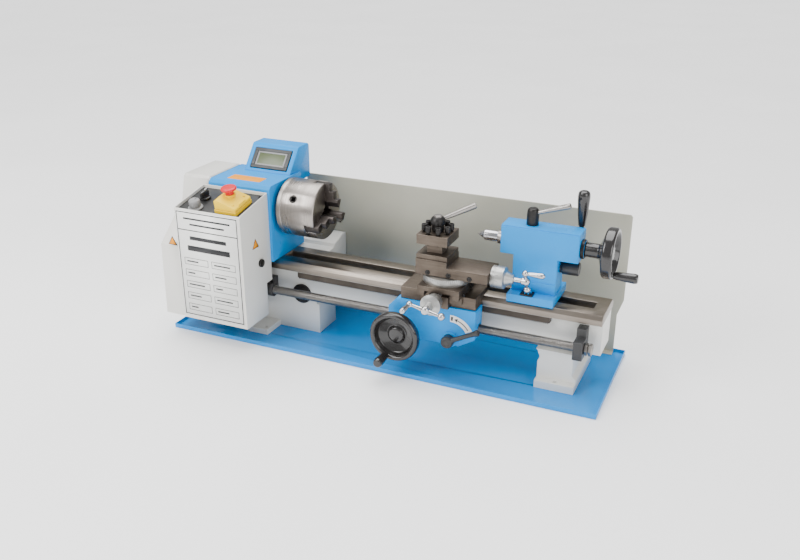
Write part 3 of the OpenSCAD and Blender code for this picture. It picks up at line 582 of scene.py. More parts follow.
@dataclass(frozen=True)
class BedCasting:
    """Painted casting whose ways are ground bare above a height."""

    paint: Colour
    ways: Colour
    ground_above: float = 118.3
    oil: Colour = (0.16, 0.13, 0.10)

    def build(self, name: str, effects: Effects) -> Material:
        """Makes the material.

        Args:
            name: The material's name.
            effects: The shared groups.

        Returns:
            The material.
        """
        material, g, main = blank_material(name)
        painted = cloudy(g, effects, self.paint, 0.82, 12.0, 0.3)
        ground = cloudy(g, effects, self.ways, self.oil, 18.0, 0.35)
        lines = use_group(g, effects.scratches, {"Stretch": (25.0, 2200.0, 2200.0)})
        lined = g.mix(g.math("MULTIPLY", lines.outputs["Shade"], 0.35), ground.outputs["Colour"], self.oil)
        wear = use_group(g, effects.wear, {"Radius": 0.0009, "Amount": 0.5})
        bare = g.mix(wear.outputs["Mask"], lined, (0.72, 0.70, 0.66))
        height = g.add("ShaderNodeSeparateXYZ", {0: g.place()}).outputs["Z"]
        level = self.ground_above * MM
        mask = g.add("ShaderNodeMapRange", {"Value": height, "From Min": level, "From Max": level + 0.0004})
        top = mask.outputs["Result"]
        g.tree.links.new(g.mix(top, painted.outputs["Colour"], bare), main.inputs["Base Color"])
        g.tree.links.new(top, main.inputs["Metallic"])
        rough = g.ramp(lines.outputs["Shade"], 0.0, 1.0, 0.28, 0.42)
        g.tree.links.new(rough, main.inputs["Roughness"])
        main.inputs["Coat Weight"].default_value = 0.1
        skin = use_group(g, effects.skin, {"Scale": 260.0, "Waves": 55.0})
        cast = g.math("MULTIPLY", skin.outputs["Height"], g.math("SUBTRACT", 1.0, top))
        cut = g.math("MULTIPLY", g.math("MULTIPLY", lines.outputs["Height"], top), 0.2)
        relief(g, main, g.math("ADD", cast, cut), 0.4, 0.0001, wear.outputs["Normal"])
        return material


@dataclass(frozen=True)
class Glass:
    """The grey-green face of a liquid crystal display."""

    colour: Colour = (0.085, 0.11, 0.045)

    def build(self, name: str, effects: Effects) -> Material:
        """Makes the material.

        Args:
            name: The material's name.
            effects: The shared groups.

        Returns:
            The material.
        """
        material, g, main = blank_material(name)
        mottle = cloudy(g, effects, self.colour, 0.85, 30.0, 0.4)
        grid = g.add("ShaderNodeTexChecker", {"Vector": g.place(), "Scale": 2400.0})
        cells = g.mix(
            g.math("MULTIPLY", grid.outputs["Fac"], 0.08), mottle.outputs["Colour"], (0.05, 0.07, 0.04),
        )
        g.tree.links.new(cells, main.inputs["Base Color"])
        main.inputs["Roughness"].default_value = 0.3
        return material


FINISHES = {
    # The lighter blue edge colour of the blue and tray paints is a painted highlight along their edges.
    Finish.BLUE: Paint((0.0, 0.275, 0.72), 0.26, 0.0, 0.2, 0.2, (0.16, 0.50, 0.78), gleam=0.14),
    Finish.TRAY: Paint((0.0, 0.24, 0.64), 0.14, 0.03, 0.3, 0.25, (0.16, 0.50, 0.78), 0.0008, 0.03, 0.35),
    Finish.WHITE: Paint((0.72, 0.71, 0.665), 0.34, 0.2, 0.3, 0.25, (0.42, 0.41, 0.38)),
    Finish.GUARD: Paint((0.40, 0.39, 0.315), 0.3, 0.1, 0.35, 0.3, (0.66, 0.66, 0.6)),
    Finish.BED: BedCasting((0.68, 0.675, 0.64), (0.26, 0.23, 0.20)),
    Finish.STEEL: Metal((0.36, 0.34, 0.32), 0.24, dark=0.5),
    Finish.IRON: Metal((0.135, 0.108, 0.086), 0.36, 0.9, 0.5, 0.5, 0.6, (0.46, 0.41, 0.35)),
    Finish.RACK: Metal((0.075, 0.064, 0.055), 0.4, 0.9, 0.5, 0.5, 0.6, (0.42, 0.38, 0.33)),
    Finish.CHUCK: Metal(
        (0.34, 0.31, 0.285), 0.24, 1.0, 0.5, 0.4, 0.5, centre=(0.0, 0.0, AXIS_Z), depth=0.03,
    ),
    Finish.JAW: Metal(
        (0.07, 0.06, 0.055), 0.3, 0.9, 0.45, 0.5, 0.85, (0.55, 0.52, 0.5), (900.0, 900.0, 900.0),
    ),
    Finish.OXIDE: Metal(
        (0.035, 0.033, 0.032), 0.34, 0.8, 0.5, 0.4, 0.45, (0.34, 0.33, 0.32), (500.0, 500.0, 500.0),
    ),
    Finish.BLACK_IRON: Paint((0.018, 0.018, 0.019), 0.4, 0.2, 0.3, 0.5, (0.2, 0.2, 0.2), 0.0009, 0.12),
    Finish.CHROME: Metal(
        (0.52, 0.52, 0.53), 0.1, 1.0, 0.8, 0.25, 0.2, lines=(700.0, 700.0, 700.0), depth=0.004,
    ),
    Finish.GEAR: Metal((0.24, 0.22, 0.20), 0.32, 1.0, 0.6, 0.5, 0.5, lines=(400.0, 400.0, 400.0)),
    Finish.BRONZE: Metal((0.62, 0.42, 0.17), 0.3, 1.0, 0.7, 0.4, 0.4, (0.85, 0.66, 0.36)),
    Finish.BLACK_PLASTIC: Plastic((0.014, 0.013, 0.013), 0.16, 0.35, 0.3, 0.35, 2.5, 600.0, 0.02),
    Finish.PANEL: Plastic((0.012, 0.012, 0.012), 0.42, 0.0, 0.3, 0.2, 2.0, 1800.0, 0.03),
    Finish.YELLOW: Plastic((0.93, 0.60, 0.0), 0.35, 0.0, 0.15, 0.3, 1.2, gleam=0.25),
    Finish.RED: Plastic((0.66, 0.004, 0.014), 0.3, 0.0, 0.2, 0.25, 1.4, gleam=0.35),
    Finish.KNOB: Plastic((0.25, 0.25, 0.25), 0.35, 0.1, 0.25, 0.4, 1.7),
    Finish.BEZEL: Plastic((0.035, 0.037, 0.037), 0.4, 0.0, 0.25, 0.3, 2.0),
    Finish.GLASS: Glass(),
    Finish.RUBBER: Plastic((0.022, 0.021, 0.02), 0.7, 0.0, 0.3, 0.3, 2.0, 1200.0, 0.06),
    Finish.MOTOR: Paint((0.03, 0.03, 0.032), 0.4, 0.2, 0.3, 0.3, (0.2, 0.2, 0.2)),
    Finish.DIAL: Metal(
        (0.44, 0.44, 0.425), 0.3, 0.9, 0.75, 0.3, 0.4, (0.9, 0.9, 0.9), (500.0, 500.0, 500.0),
    ),
    Finish.INK: Plastic((0.012, 0.012, 0.014), 0.5, 0.0, 0.25, 0.0, 1.0, 1500.0, 0.01),
    Finish.PLATE: Plastic((0.86, 0.86, 0.83), 0.4, 0.2, 0.15, 0.2, 0.9, 700.0, 0.01),
    Finish.ORANGE: Plastic((0.84, 0.30, 0.0), 0.45, 0.0, 0.3, 0.25, 1.2, 700.0, 0.01, 0.25),
}


# ---- mesh work ----


def fillet(outline: Outline, radius: float, steps: int = 4) -> Outline:
    """Rounds the inside corners of an open outline.

    Args:
        outline: The outline's points.
        radius: How far from each corner the round starts.
        steps: How many points each round has.

    Returns:
        The rounded outline.
    """
    made = [outline[0]]
    for before, corner, after in zip(outline, outline[1:], outline[2:]):
        c, a, b = Vector(corner), Vector(before), Vector(after)
        reach = min(radius, (a - c).length * 0.45, (b - c).length * 0.45)
        start, end = c + (a - c).normalized() * reach, c + (b - c).normalized() * reach
        for i in range(steps + 1):
            t = i / steps
            made.append(tuple(start * (1 - t) ** 2 + c * 2 * t * (1 - t) + end * t * t))
    made.append(outline[-1])
    return made


def square_to(line: Vector) -> tuple[Vector, Vector]:
    """Finds two directions square to a line and to each other.

    Args:
        line: The line's direction, one unit long.

    Returns:
        The two directions.
    """
    helper = Vector((0, 0, 1)) if abs(line.z) < 0.9 else Vector((1, 0, 0))
    u = helper.cross(line).normalized()
    return u, line.cross(u).normalized()


def ring(bm: Mesh, middle: Vector, u: Vector, v: Vector, radius: float, steps: int) -> list:
    """Adds the points of one circle.

    Args:
        bm: The mesh to add to.
        middle: The circle's middle, in millimetres.
        u: One direction in its plane.
        v: The other direction.
        radius: Its radius.
        steps: How many points it has.

    Returns:
        The new points in order.
    """
    turns = [2 * math.pi * i / steps for i in range(steps)]
    return [bm.verts.new((middle + (u * math.cos(a) + v * math.sin(a)) * radius) * MM) for a in turns]


def join_rows(bm: Mesh, one: list, two: list, closed: bool = True) -> None:
    """Joins two rows of points with four-sided faces.

    Args:
        bm: The mesh to add to.
        one: The first row.
        two: The second row, as long as the first.
        closed: Whether the last point joins the first.
    """
    count = len(one)
    for i in range(count if closed else count - 1):
        j = (i + 1) % count
        bm.faces.new([one[i], one[j], two[j], two[i]])


def turn(bm: Mesh, outline: Outline, place: Point, axis: Axis | Vector, steps: int = 64) -> None:
    """Adds a turned part to a mesh.

    Args:
        bm: The mesh to add to.
        outline: Points of radius and distance along the axis, in millimetres.
        place: Where the axis starts.
        axis: The direction of the axis.
        steps: How many sides the part has.
    """
    line = Vector(axis.value) if isinstance(axis, Axis) else axis.normalized()
    u, v = square_to(line)
    rings = []
    for radius, along in outline:
        middle = Vector(place) + line * along
        on_axis = radius < 0.001
        rings.append([bm.verts.new(middle * MM)] if on_axis else ring(bm, middle, u, v, radius, steps))
    for one, two in zip(rings, rings[1:]):
        for i in range(steps):
            j = (i + 1) % steps
            corners = [one[i % len(one)], one[j % len(one)], two[j % len(two)], two[i % len(two)]]
            unique = list(dict.fromkeys(corners))
            if len(unique) > 2:
                bm.faces.new(unique)


def tube(bm: Mesh, path: list[Point], radii: list[float], steps: int = 24) -> None:
    """Adds a round bar that follows a path, with closed ends.

    Args:
        bm: The mesh to add to.
        path: The middle points, in millimetres.
        radii: The radius at each point.
        steps: How many sides the bar has.
    """
    points = [Vector(p) for p in path]
    u = None
    rings = []
    for i, p in enumerate(points):
        ahead = (points[min(i + 1, len(points) - 1)] - points[max(i - 1, 0)]).normalized()
        u = square_to(ahead)[0] if u is None else (u - ahead * u.dot(ahead)).normalized()
        rings.append(ring(bm, p, u, ahead.cross(u), radii[i], steps))
    for one, two in zip(rings, rings[1:]):
        join_rows(bm, one, two)
    bm.faces.new(rings[0][::-1])
    bm.faces.new(rings[-1])


def block(bm: Mesh, low: Point, high: Point, round_by: float = 0.0, matrix: Matrix | None = None) -> None:
    """Adds a block with rounded edges.

    Args:
        bm: The mesh to add to.
        low: Its lowest corner, in millimetres.
        high: Its highest corner.
        round_by: The radius of its edges.
        matrix: Where the block's own frame lies, in millimetres.
    """
    made = bmesh.ops.create_cube(bm, size=1.0)["verts"]
    middle = (Vector(low) + Vector(high)) / 2
    size = Vector(high) - Vector(low)
    for vert in made:
        vert.co = Vector(c * s for c, s in zip(vert.co, size)) + middle
    if round_by > 0:
        edges = list({e for vert in made for e in vert.link_edges})
        made = bmesh.ops.bevel(
            bm, geom=edges, offset=round_by, segments=3, affect="EDGES", profile=0.5,
        )["verts"]
        made = list({v for f in {f for v in made for f in v.link_faces} for v in f.verts})
    for vert in made:
        vert.co = ((matrix @ vert.co) if matrix else vert.co) * MM


def rod(bm: Mesh, start: Point, end: Point, shape: Outline, steps: int = 32) -> None:
    """Adds a straight round bar whose thickness changes along it.

    Args:
        bm: The mesh to add to.
        start: Where the line starts, in millimetres.
        end: Where the line ends.
        shape: Pairs of a share of the line and the bar's radius there.
        steps: How many sides the bar has.
    """
    path = [tuple(Vector(start).lerp(Vector(end), share)) for share, _ in shape]
    tube(bm, path, [radius for _, radius in shape], steps)


def square_rim(
    bm: Mesh, low: Point, high: Point, wide: tuple[float, float], round_by: float, at: Matrix,
) -> None:
    """Adds a flat rectangular rim made of four bars.

    Args:
        bm: The mesh to add to.
        low: Its lowest corner, in millimetres.
        high: Its highest corner.
        wide: The width of its two side bars and of its two cross bars.
        round_by: The radius of its edges.
        at: Where its own frame lies.
    """
    (x0, y0, z0), (x1, y1, z1) = low, high
    side, cross = wide
    lap = 0.1
    for a, b in (
        ((x0, y1 - cross), (x1, y1)), ((x0, y0), (x1, y0 + cross)),
        ((x0, y0 + cross - lap), (x0 + side, y1 - cross + lap)),
        ((x1 - side, y0 + cross - lap), (x1, y1 - cross + lap)),
    ):
        block(bm, (*a, z0), (*b, z1), round_by, at)


def screw_thread(
    bm: Mesh, place: Point, axis: Axis, reach: tuple[float, float], pitch: float, crest: float, root: float,
) -> None:
    """Adds one continuous thread.

    Args:
        bm: The mesh to add to.
        place: Where the screw's axis starts.
        axis: The direction of the screw.
        reach: Where the thread starts and ends along the axis.
        pitch: The distance between turns.
        crest: The radius at the crest.
        root: The radius at the root.
    """
    sides = 18
    line = Vector(axis.value)
    u, v = square_to(line)
    total = int((reach[1] - reach[0]) / pitch * sides)
    rows = []
    for i in range(total + 1):
        a = 2 * math.pi * i / sides
        out = u * math.cos(a) + v * math.sin(a)
        row = []
        for share, radius in ((0.0, root), (0.22, root), (0.42, crest), (0.78, crest)):
            along = min(reach[0] + (i / sides + share) * pitch, reach[1])
            row.append(bm.verts.new((Vector(place) + line * along + out * radius) * MM))
        rows.append(row)
    for i in range(total):
        one, two = rows[i], rows[i + 1]
        for k in range(3):
            bm.faces.new([one[k], two[k], two[k + 1], one[k + 1]])
        if i + sides + 1 <= total:
            bm.faces.new([one[3], two[3], rows[i + sides + 1][0], rows[i + sides][0]])


def gear_wheel(bm: Mesh, teeth: int, bore: float, place: Point, axis: Axis, width: float) -> None:
    """Adds a spur gear of module 1.

    Args:
        bm: The mesh to add to.
        teeth: How many teeth it has.
        bore: The radius of its bore.
        place: The middle of its first face.
        axis: The direction of its axle.
        width: Its width.
    """
    u, v = square_to(Vector(axis.value))
    line = Vector(axis.value)
    outer = []
    for i in range(teeth):
        for share, radius in ((-0.33, -1.25), (-0.17, 1.0), (0.17, 1.0), (0.33, -1.25)):
            a = 2 * math.pi * (i + share) / teeth
            outer.append((teeth / 2 + radius, a))
    rings = []
    for along in (0.0, width):
        for points in (outer, [(bore, a) for _, a in outer]):
            base = Vector(place) + line * along
            rings.append(
                [bm.verts.new((base + (u * math.cos(a) + v * math.sin(a)) * r) * MM) for r, a in points]
            )
    for one, two in ((0, 1), (1, 3), (3, 2), (2, 0)):
        join_rows(bm, rings[one], rings[two])


def bar_of(outline: Outline, low: float, high: float, axis: Axis) -> Mesh:
    """A flat outline made thick along one axis.

    Args:
        outline: The outline's points, in millimetres, in the plane square to the axis.
        low: Where it starts along the axis.
        high: Where it ends.
        axis: X for an outline in Y and Z, BACK for one in X and Z.

    Returns:
        The new mesh.
    """
    bm = bmesh.new()
    rows = []
    for along in (low, high):
        if axis is Axis.X:
            points = [(along, a, b) for a, b in outline]
        else:
            points = [(a, along, b) for a, b in outline]
        rows.append([bm.verts.new(Vector(p) * MM) for p in points])
    join_rows(bm, *rows)
    bm.faces.new(rows[0][::-1])
    bm.faces.new(rows[1])
    return bm


class Shop:
    """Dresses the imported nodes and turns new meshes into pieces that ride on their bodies."""

    def __init__(self, nodes: dict[str, Thing]) -> None:
        """Builds every finish once.

        Args:
            nodes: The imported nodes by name.
        """
        self.nodes = nodes
        effects = Effects()
        self.materials = {f: FINISHES[f].build(f.value, effects) for f in Finish}
        self.count = 0

    def piece(
        self, name: str, bm: Mesh, finish: Finish, body: str, slot: str,
        replaces: tuple[str, ...] = (),
    ) -> None:
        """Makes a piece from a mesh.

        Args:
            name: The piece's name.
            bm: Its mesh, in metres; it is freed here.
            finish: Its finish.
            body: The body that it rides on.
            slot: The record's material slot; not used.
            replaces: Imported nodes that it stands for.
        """
        bmesh.ops.remove_doubles(bm, verts=bm.verts, dist=WELD_WITHIN)
        bmesh.ops.recalc_face_normals(bm, faces=bm.faces)
        for edge in bm.edges:
            edge.smooth = len(edge.link_faces) == 2 and edge.calc_face_angle(0.0) < math.radians(CRISP_OVER)
        mesh = bpy.data.meshes.new(name)
        bm.to_mesh(mesh)
        bm.free()
        mesh.polygons.foreach_set("use_smooth", [True] * len(mesh.polygons))
        mesh.materials.append(self.materials[finish])
        made = bpy.data.objects.new(name, mesh)
        bpy.context.scene.collection.objects.link(made)
        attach(made, body)
        if replaces:
            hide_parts(*replaces)
        self.count += 1
        LOG.info("%s rides on %s with %d faces", name, body, len(mesh.polygons))

    def turned(
        self, name: str, outline: Outline, place: Point, axis: Axis | Vector, steps: int, finish: Finish,
        body: str,
        slot: str, replaces: tuple[str, ...] = (),
    ) -> None:
        """Makes a piece that is a single turned part.

        Args:
            name: The piece's name.
            outline: Points of radius and distance along the axis, in millimetres.
            place: Where the axis starts.
            axis: The direction of the axis.
            steps: How many sides the part has.
            finish: Its finish.
            body: The body that it rides on.
            slot: The record's material slot.
            replaces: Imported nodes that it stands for.
        """
        bm = bmesh.new()
        turn(bm, outline, place, axis, steps)
        self.piece(name, bm, finish, body, slot, replaces)

    def dress_all(self, work: Sequence[tuple[str, Finish, float]]) -> None:
        """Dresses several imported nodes, each given with its finish and the radius of its edges."""
        for node, finish, round_by in work:
            self.dress(node, finish, round_by)

    def dress(self, node: str, finish: Finish, round_by: float = 0.0) -> None:
        """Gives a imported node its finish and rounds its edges.

        Args:
            node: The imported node.
            finish: Its finish.
            round_by: The radius of its edges, in millimetres; 0 leaves them as they are.
        """
        made = self.nodes[node]
        mesh = made.data
        if "custom_normal" in mesh.attributes:
            mesh.attributes.remove(mesh.attributes["custom_normal"])
        mesh.polygons.foreach_set("use_smooth", [True] * len(mesh.polygons))
        mesh.materials.clear()
        mesh.materials.append(self.materials[finish])
        weld = made.modifiers.new("weld", "WELD")
        weld.merge_threshold = 2 * WELD_WITHIN
        if round_by > 0:
            bevel = made.modifiers.new("round_edges", "BEVEL")
            bevel.width = round_by * MM
            bevel.segments = 2
            bevel.limit_method = "ANGLE"
            bevel.angle_limit = math.radians(40.0)
            bevel.use_clamp_overlap = True
            bevel.harden_normals = False
        crease = made.modifiers.new("crease", "NODES")
        crease.node_group = crease_group()
        LOG.info("%s dressed in %s", node, finish.value)


def crease_group() -> Tree:
    """The geometry group that shades smooth except across sharp edges, made once."""
    name = "crease_by_angle"
    if name in bpy.data.node_groups:
        return bpy.data.node_groups[name]
    tree = bpy.data.node_groups.new(name, "GeometryNodeTree")
    tree.interface.new_socket("Geometry", in_out="INPUT", socket_type="NodeSocketGeometry")
    tree.interface.new_socket("Geometry", in_out="OUTPUT", socket_type="NodeSocketGeometry")
    g = Graph(tree)
    given, out = g.add("NodeGroupInput"), g.add("NodeGroupOutput")
    angle = g.add("GeometryNodeInputMeshEdgeAngle").outputs["Unsigned Angle"]
    soft = g.add("FunctionNodeCompare", {0: angle, 1: math.radians(30.0)}, operation="LESS_EQUAL")
    sockets = {"Geometry": given.outputs[0], "Shade Smooth": soft.outputs[0]}
    smooth = g.add("GeometryNodeSetShadeSmooth", sockets, domain="EDGE")
    tree.links.new(smooth.outputs[0], out.inputs[0])
    return tree


# ---- sub-assemblies ----


@dataclass
class Base:
    """Chip tray, splash guard, bed and the fixed small parts on it."""

    shop: Shop
    screw_line: Point = (0.0, -54.0, 83.0)
    screw_from: float = -203.0
    screw_to: float = 331.0
    screw_pitch: float = 2.0
    screw_crest: float = 7.5
    screw_root: float = 5.9

    left_end: Outline = ((0, -378), (5.2, -378), (6, -377), (6, -228))
    right_end: Outline = ((6, 359), (5.2, 360), (0, 360))
    nut: Outline = ((0, 0), (8.6, 0), (10, 0.8), (10, 4.7), (8.6, 5.5), (0, 5.5))
    nuts_at: tuple[float, float] = (347.5, 354.0)
    gear_teeth: int = 80

    def build(self) -> None:
        """Dresses the fixed parts and cuts the leadscrew."""
        self.shop.dress_all((
            ("chip_tray", Finish.TRAY, 0.7),
            ("splash_guard", Finish.GUARD, 0.5),
            ("bed", Finish.BED, 1.0),
            ("feed_rack", Finish.RACK, 0.0),
            ("plugs_and_screws", Finish.OXIDE, 0.6),
            ("cast_brackets", Finish.BLACK_IRON, 0.8),
        ))
        self._leadscrew()

    def _leadscrew(self) -> None:
        """Cuts a real thread along the leadscrew, and adds its journals, gear and nuts."""
        bm = bmesh.new()
        line, left, right, crest = self.screw_line, self.screw_from, self.screw_to, self.screw_crest
        screw_thread(bm, line, Axis.X, (left, right), self.screw_pitch, crest, self.screw_root)
        turn(bm, [*self.left_end, (crest, -228), (crest, left + 0.5), (5, left + 0.5)], line, Axis.X, 48)
        start = [(5, right - 1), (crest, right - 1), (crest, right + 1), (6, right + 1)]
        turn(bm, [*start, *self.right_end], line, Axis.X, 48)
        for along in self.nuts_at:
            turn(bm, [(radius, along + step) for radius, step in self.nut], line, Axis.X, 6)
        gear_wheel(bm, self.gear_teeth, 6.0, (self.left_end[0][1], *line[1:]), Axis.X, 8.0)
        self.shop.piece("leadscrew_threaded", bm, Finish.STEEL, "leadscrew", "ground_steel", ("leadscrew",))


@dataclass
class Headstock:
    """Headstock, display, gear train, motor and the covers over them."""

    shop: Shop
    window_at: Point = (-257.5, 41.0, 290.5)
    window_tilt: float = 50.0
    cover_edge: tuple = (
        (60, 190), (52, 228), (52, 268), (48, 272), (-42, 272), (-46.5, 268), (-49.5, 257.5),
    )

    def build(self) -> None:
        """Dresses the headstock's parts and builds its display and plates."""
        self.shop.dress_all((
            ("headstock", Finish.BLUE, 2.5),
            ("display_housing", Finish.BLUE, 1.6),
            ("spindle", Finish.STEEL, 0.0),
            ("spindle_bearings", Finish.STEEL, 0.4),
            ("layshaft", Finish.GEAR, 0.0),
            ("drive_belt", Finish.RUBBER, 0.3),
            ("motor", Finish.MOTOR, 1.5),
            ("motor_pulley", Finish.GEAR, 0.0),
            ("motor_cover", Finish.WHITE, 0.8),
            ("gear_cover", Finish.WHITE, 0.9),
            ("tumbler_gear", Finish.GEAR, 0.0),
            ("stud_gear", Finish.GEAR, 0.0),
            ("banjo_gear", Finish.GEAR, 0.0),
            ("range_lever", Finish.BLACK_PLASTIC, 0.8),
        ))
        self._cover_lip()
        self._display()
        self._plates()

    def _display(self) -> None:
        """Builds the display's frame and its glass."""
        turned = Matrix.Rotation(math.radians(self.window_tilt), 4, "X")
        tilt = Matrix.Translation(Vector(self.window_at)) @ turned
        bm = bmesh.new()
        block(bm, (-37.5, -19.5, -2.8), (37.5, 19.5, -1.0), 0.3, tilt)
        square_rim(bm, (-37.5, -19.5, -2.0), (37.5, 19.5, 1.1), (7.5, 6.0), 0.9, tilt)
        self.shop.piece("display_bezel", bm, Finish.BEZEL, "machine", "display_dark", ("display_window",))
        bm = bmesh.new()
        square_rim(bm, (-30.5, -14.0, -1.4), (30.5, 14.0, -0.2), (4.0, 3.5), 0.3, tilt)
        self.shop.piece("display_inner_frame", bm, Finish.KNOB, "machine", "display_dark")
        bm = bmesh.new()
        block(bm, (-26.8, -10.8, -1.4), (26.8, 10.8, -0.7), 0.15, tilt)
        self.shop.piece("display_glass", bm, Finish.GLASS, "machine", "display_dark")

    def _cover_lip(self) -> None:
        """Closes the seam between the gear cover and the headstock with the cover's inner lip."""
        edge = [Vector(point) for point in self.cover_edge]
        inward = []
        for i in range(len(edge)):
            steps = [edge[k + 1] - edge[k] for k in (i - 1, i) if 0 <= k < len(edge) - 1]
            sides = [Vector((-step.y, step.x)).normalized() for step in steps]
            mean = sum(sides, Vector((0.0, 0.0))).normalized()
            inward.append(mean / mean.dot(sides[0]))
        bm = bmesh.new()
        rows = []
        for along, inset in ((-334.0, 1.0), (-330.1, 1.0), (-330.1, 2.6), (-334.0, 2.6)):
            points = [corner + side * inset for corner, side in zip(edge, inward)]
            rows.append([bm.verts.new(Vector((along, p.x, p.y)) * MM) for p in points])
        for k, row in enumerate(rows):
            join_rows(bm, row, rows[(k + 1) % len(rows)], closed=False)
        for i in (0, -1):
            bm.faces.new([row[i] for row in rows])
        self.shop.piece("gear_cover_lip", bm, Finish.WHITE, "machine", "white_paint")

    def _plates(self) -> None:
        """Adds the blank orange plate on top and the triangle on the gear cover."""
        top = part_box("headstock")[1].z / MM
        bm = bmesh.new()
        block(bm, (-303.0, -33.0, top - 0.3), (-237.0, -8.0, top + 0.35), 0.3)
        self.shop.piece("headstock_plate", bm, Finish.ORANGE, "machine", "blue_paint")
        triangle(self.shop, "cover_triangle", (-357.0, -129.6, 176.0), 18.0, Axis.BACK, "machine")


def triangle(shop: Shop, name: str, place: Point, size: float, axis: Axis, body: str) -> None:
    """Adds a plain orange triangle with a dark rim, standing on its base.

    Args:
        shop: The shop that makes pieces.
        name: The piece's name.
        place: The middle of its base's height, on the face that carries it.
        size: The length of its sides.
        axis: The direction that the face looks along.
        body: The body that it rides on.
    """
    tall = size * math.sqrt(3) / 2
    for part, share, lift, finish in (("rim", 1.0, 0.25, Finish.INK), ("field", 0.78, 0.4, Finish.ORANGE)):
        half, low = size * share / 2, -tall / 3 * share
        middle = place[1] if axis is Axis.X else place[0]
        foot, tip = place[2] + low, place[2] + low + tall * share
        outline = [(middle - half, foot), (middle + half, foot), (middle, tip)]
        if axis is Axis.X:
            bm = bar_of(outline, place[0] - 0.3, place[0] + lift, axis)
        else:
            bm = bar_of(outline, place[1] - lift, place[1] + 0.6, axis)
        shop.piece(f"{name}_{part}", bm, finish, body, "yellow_plastic")


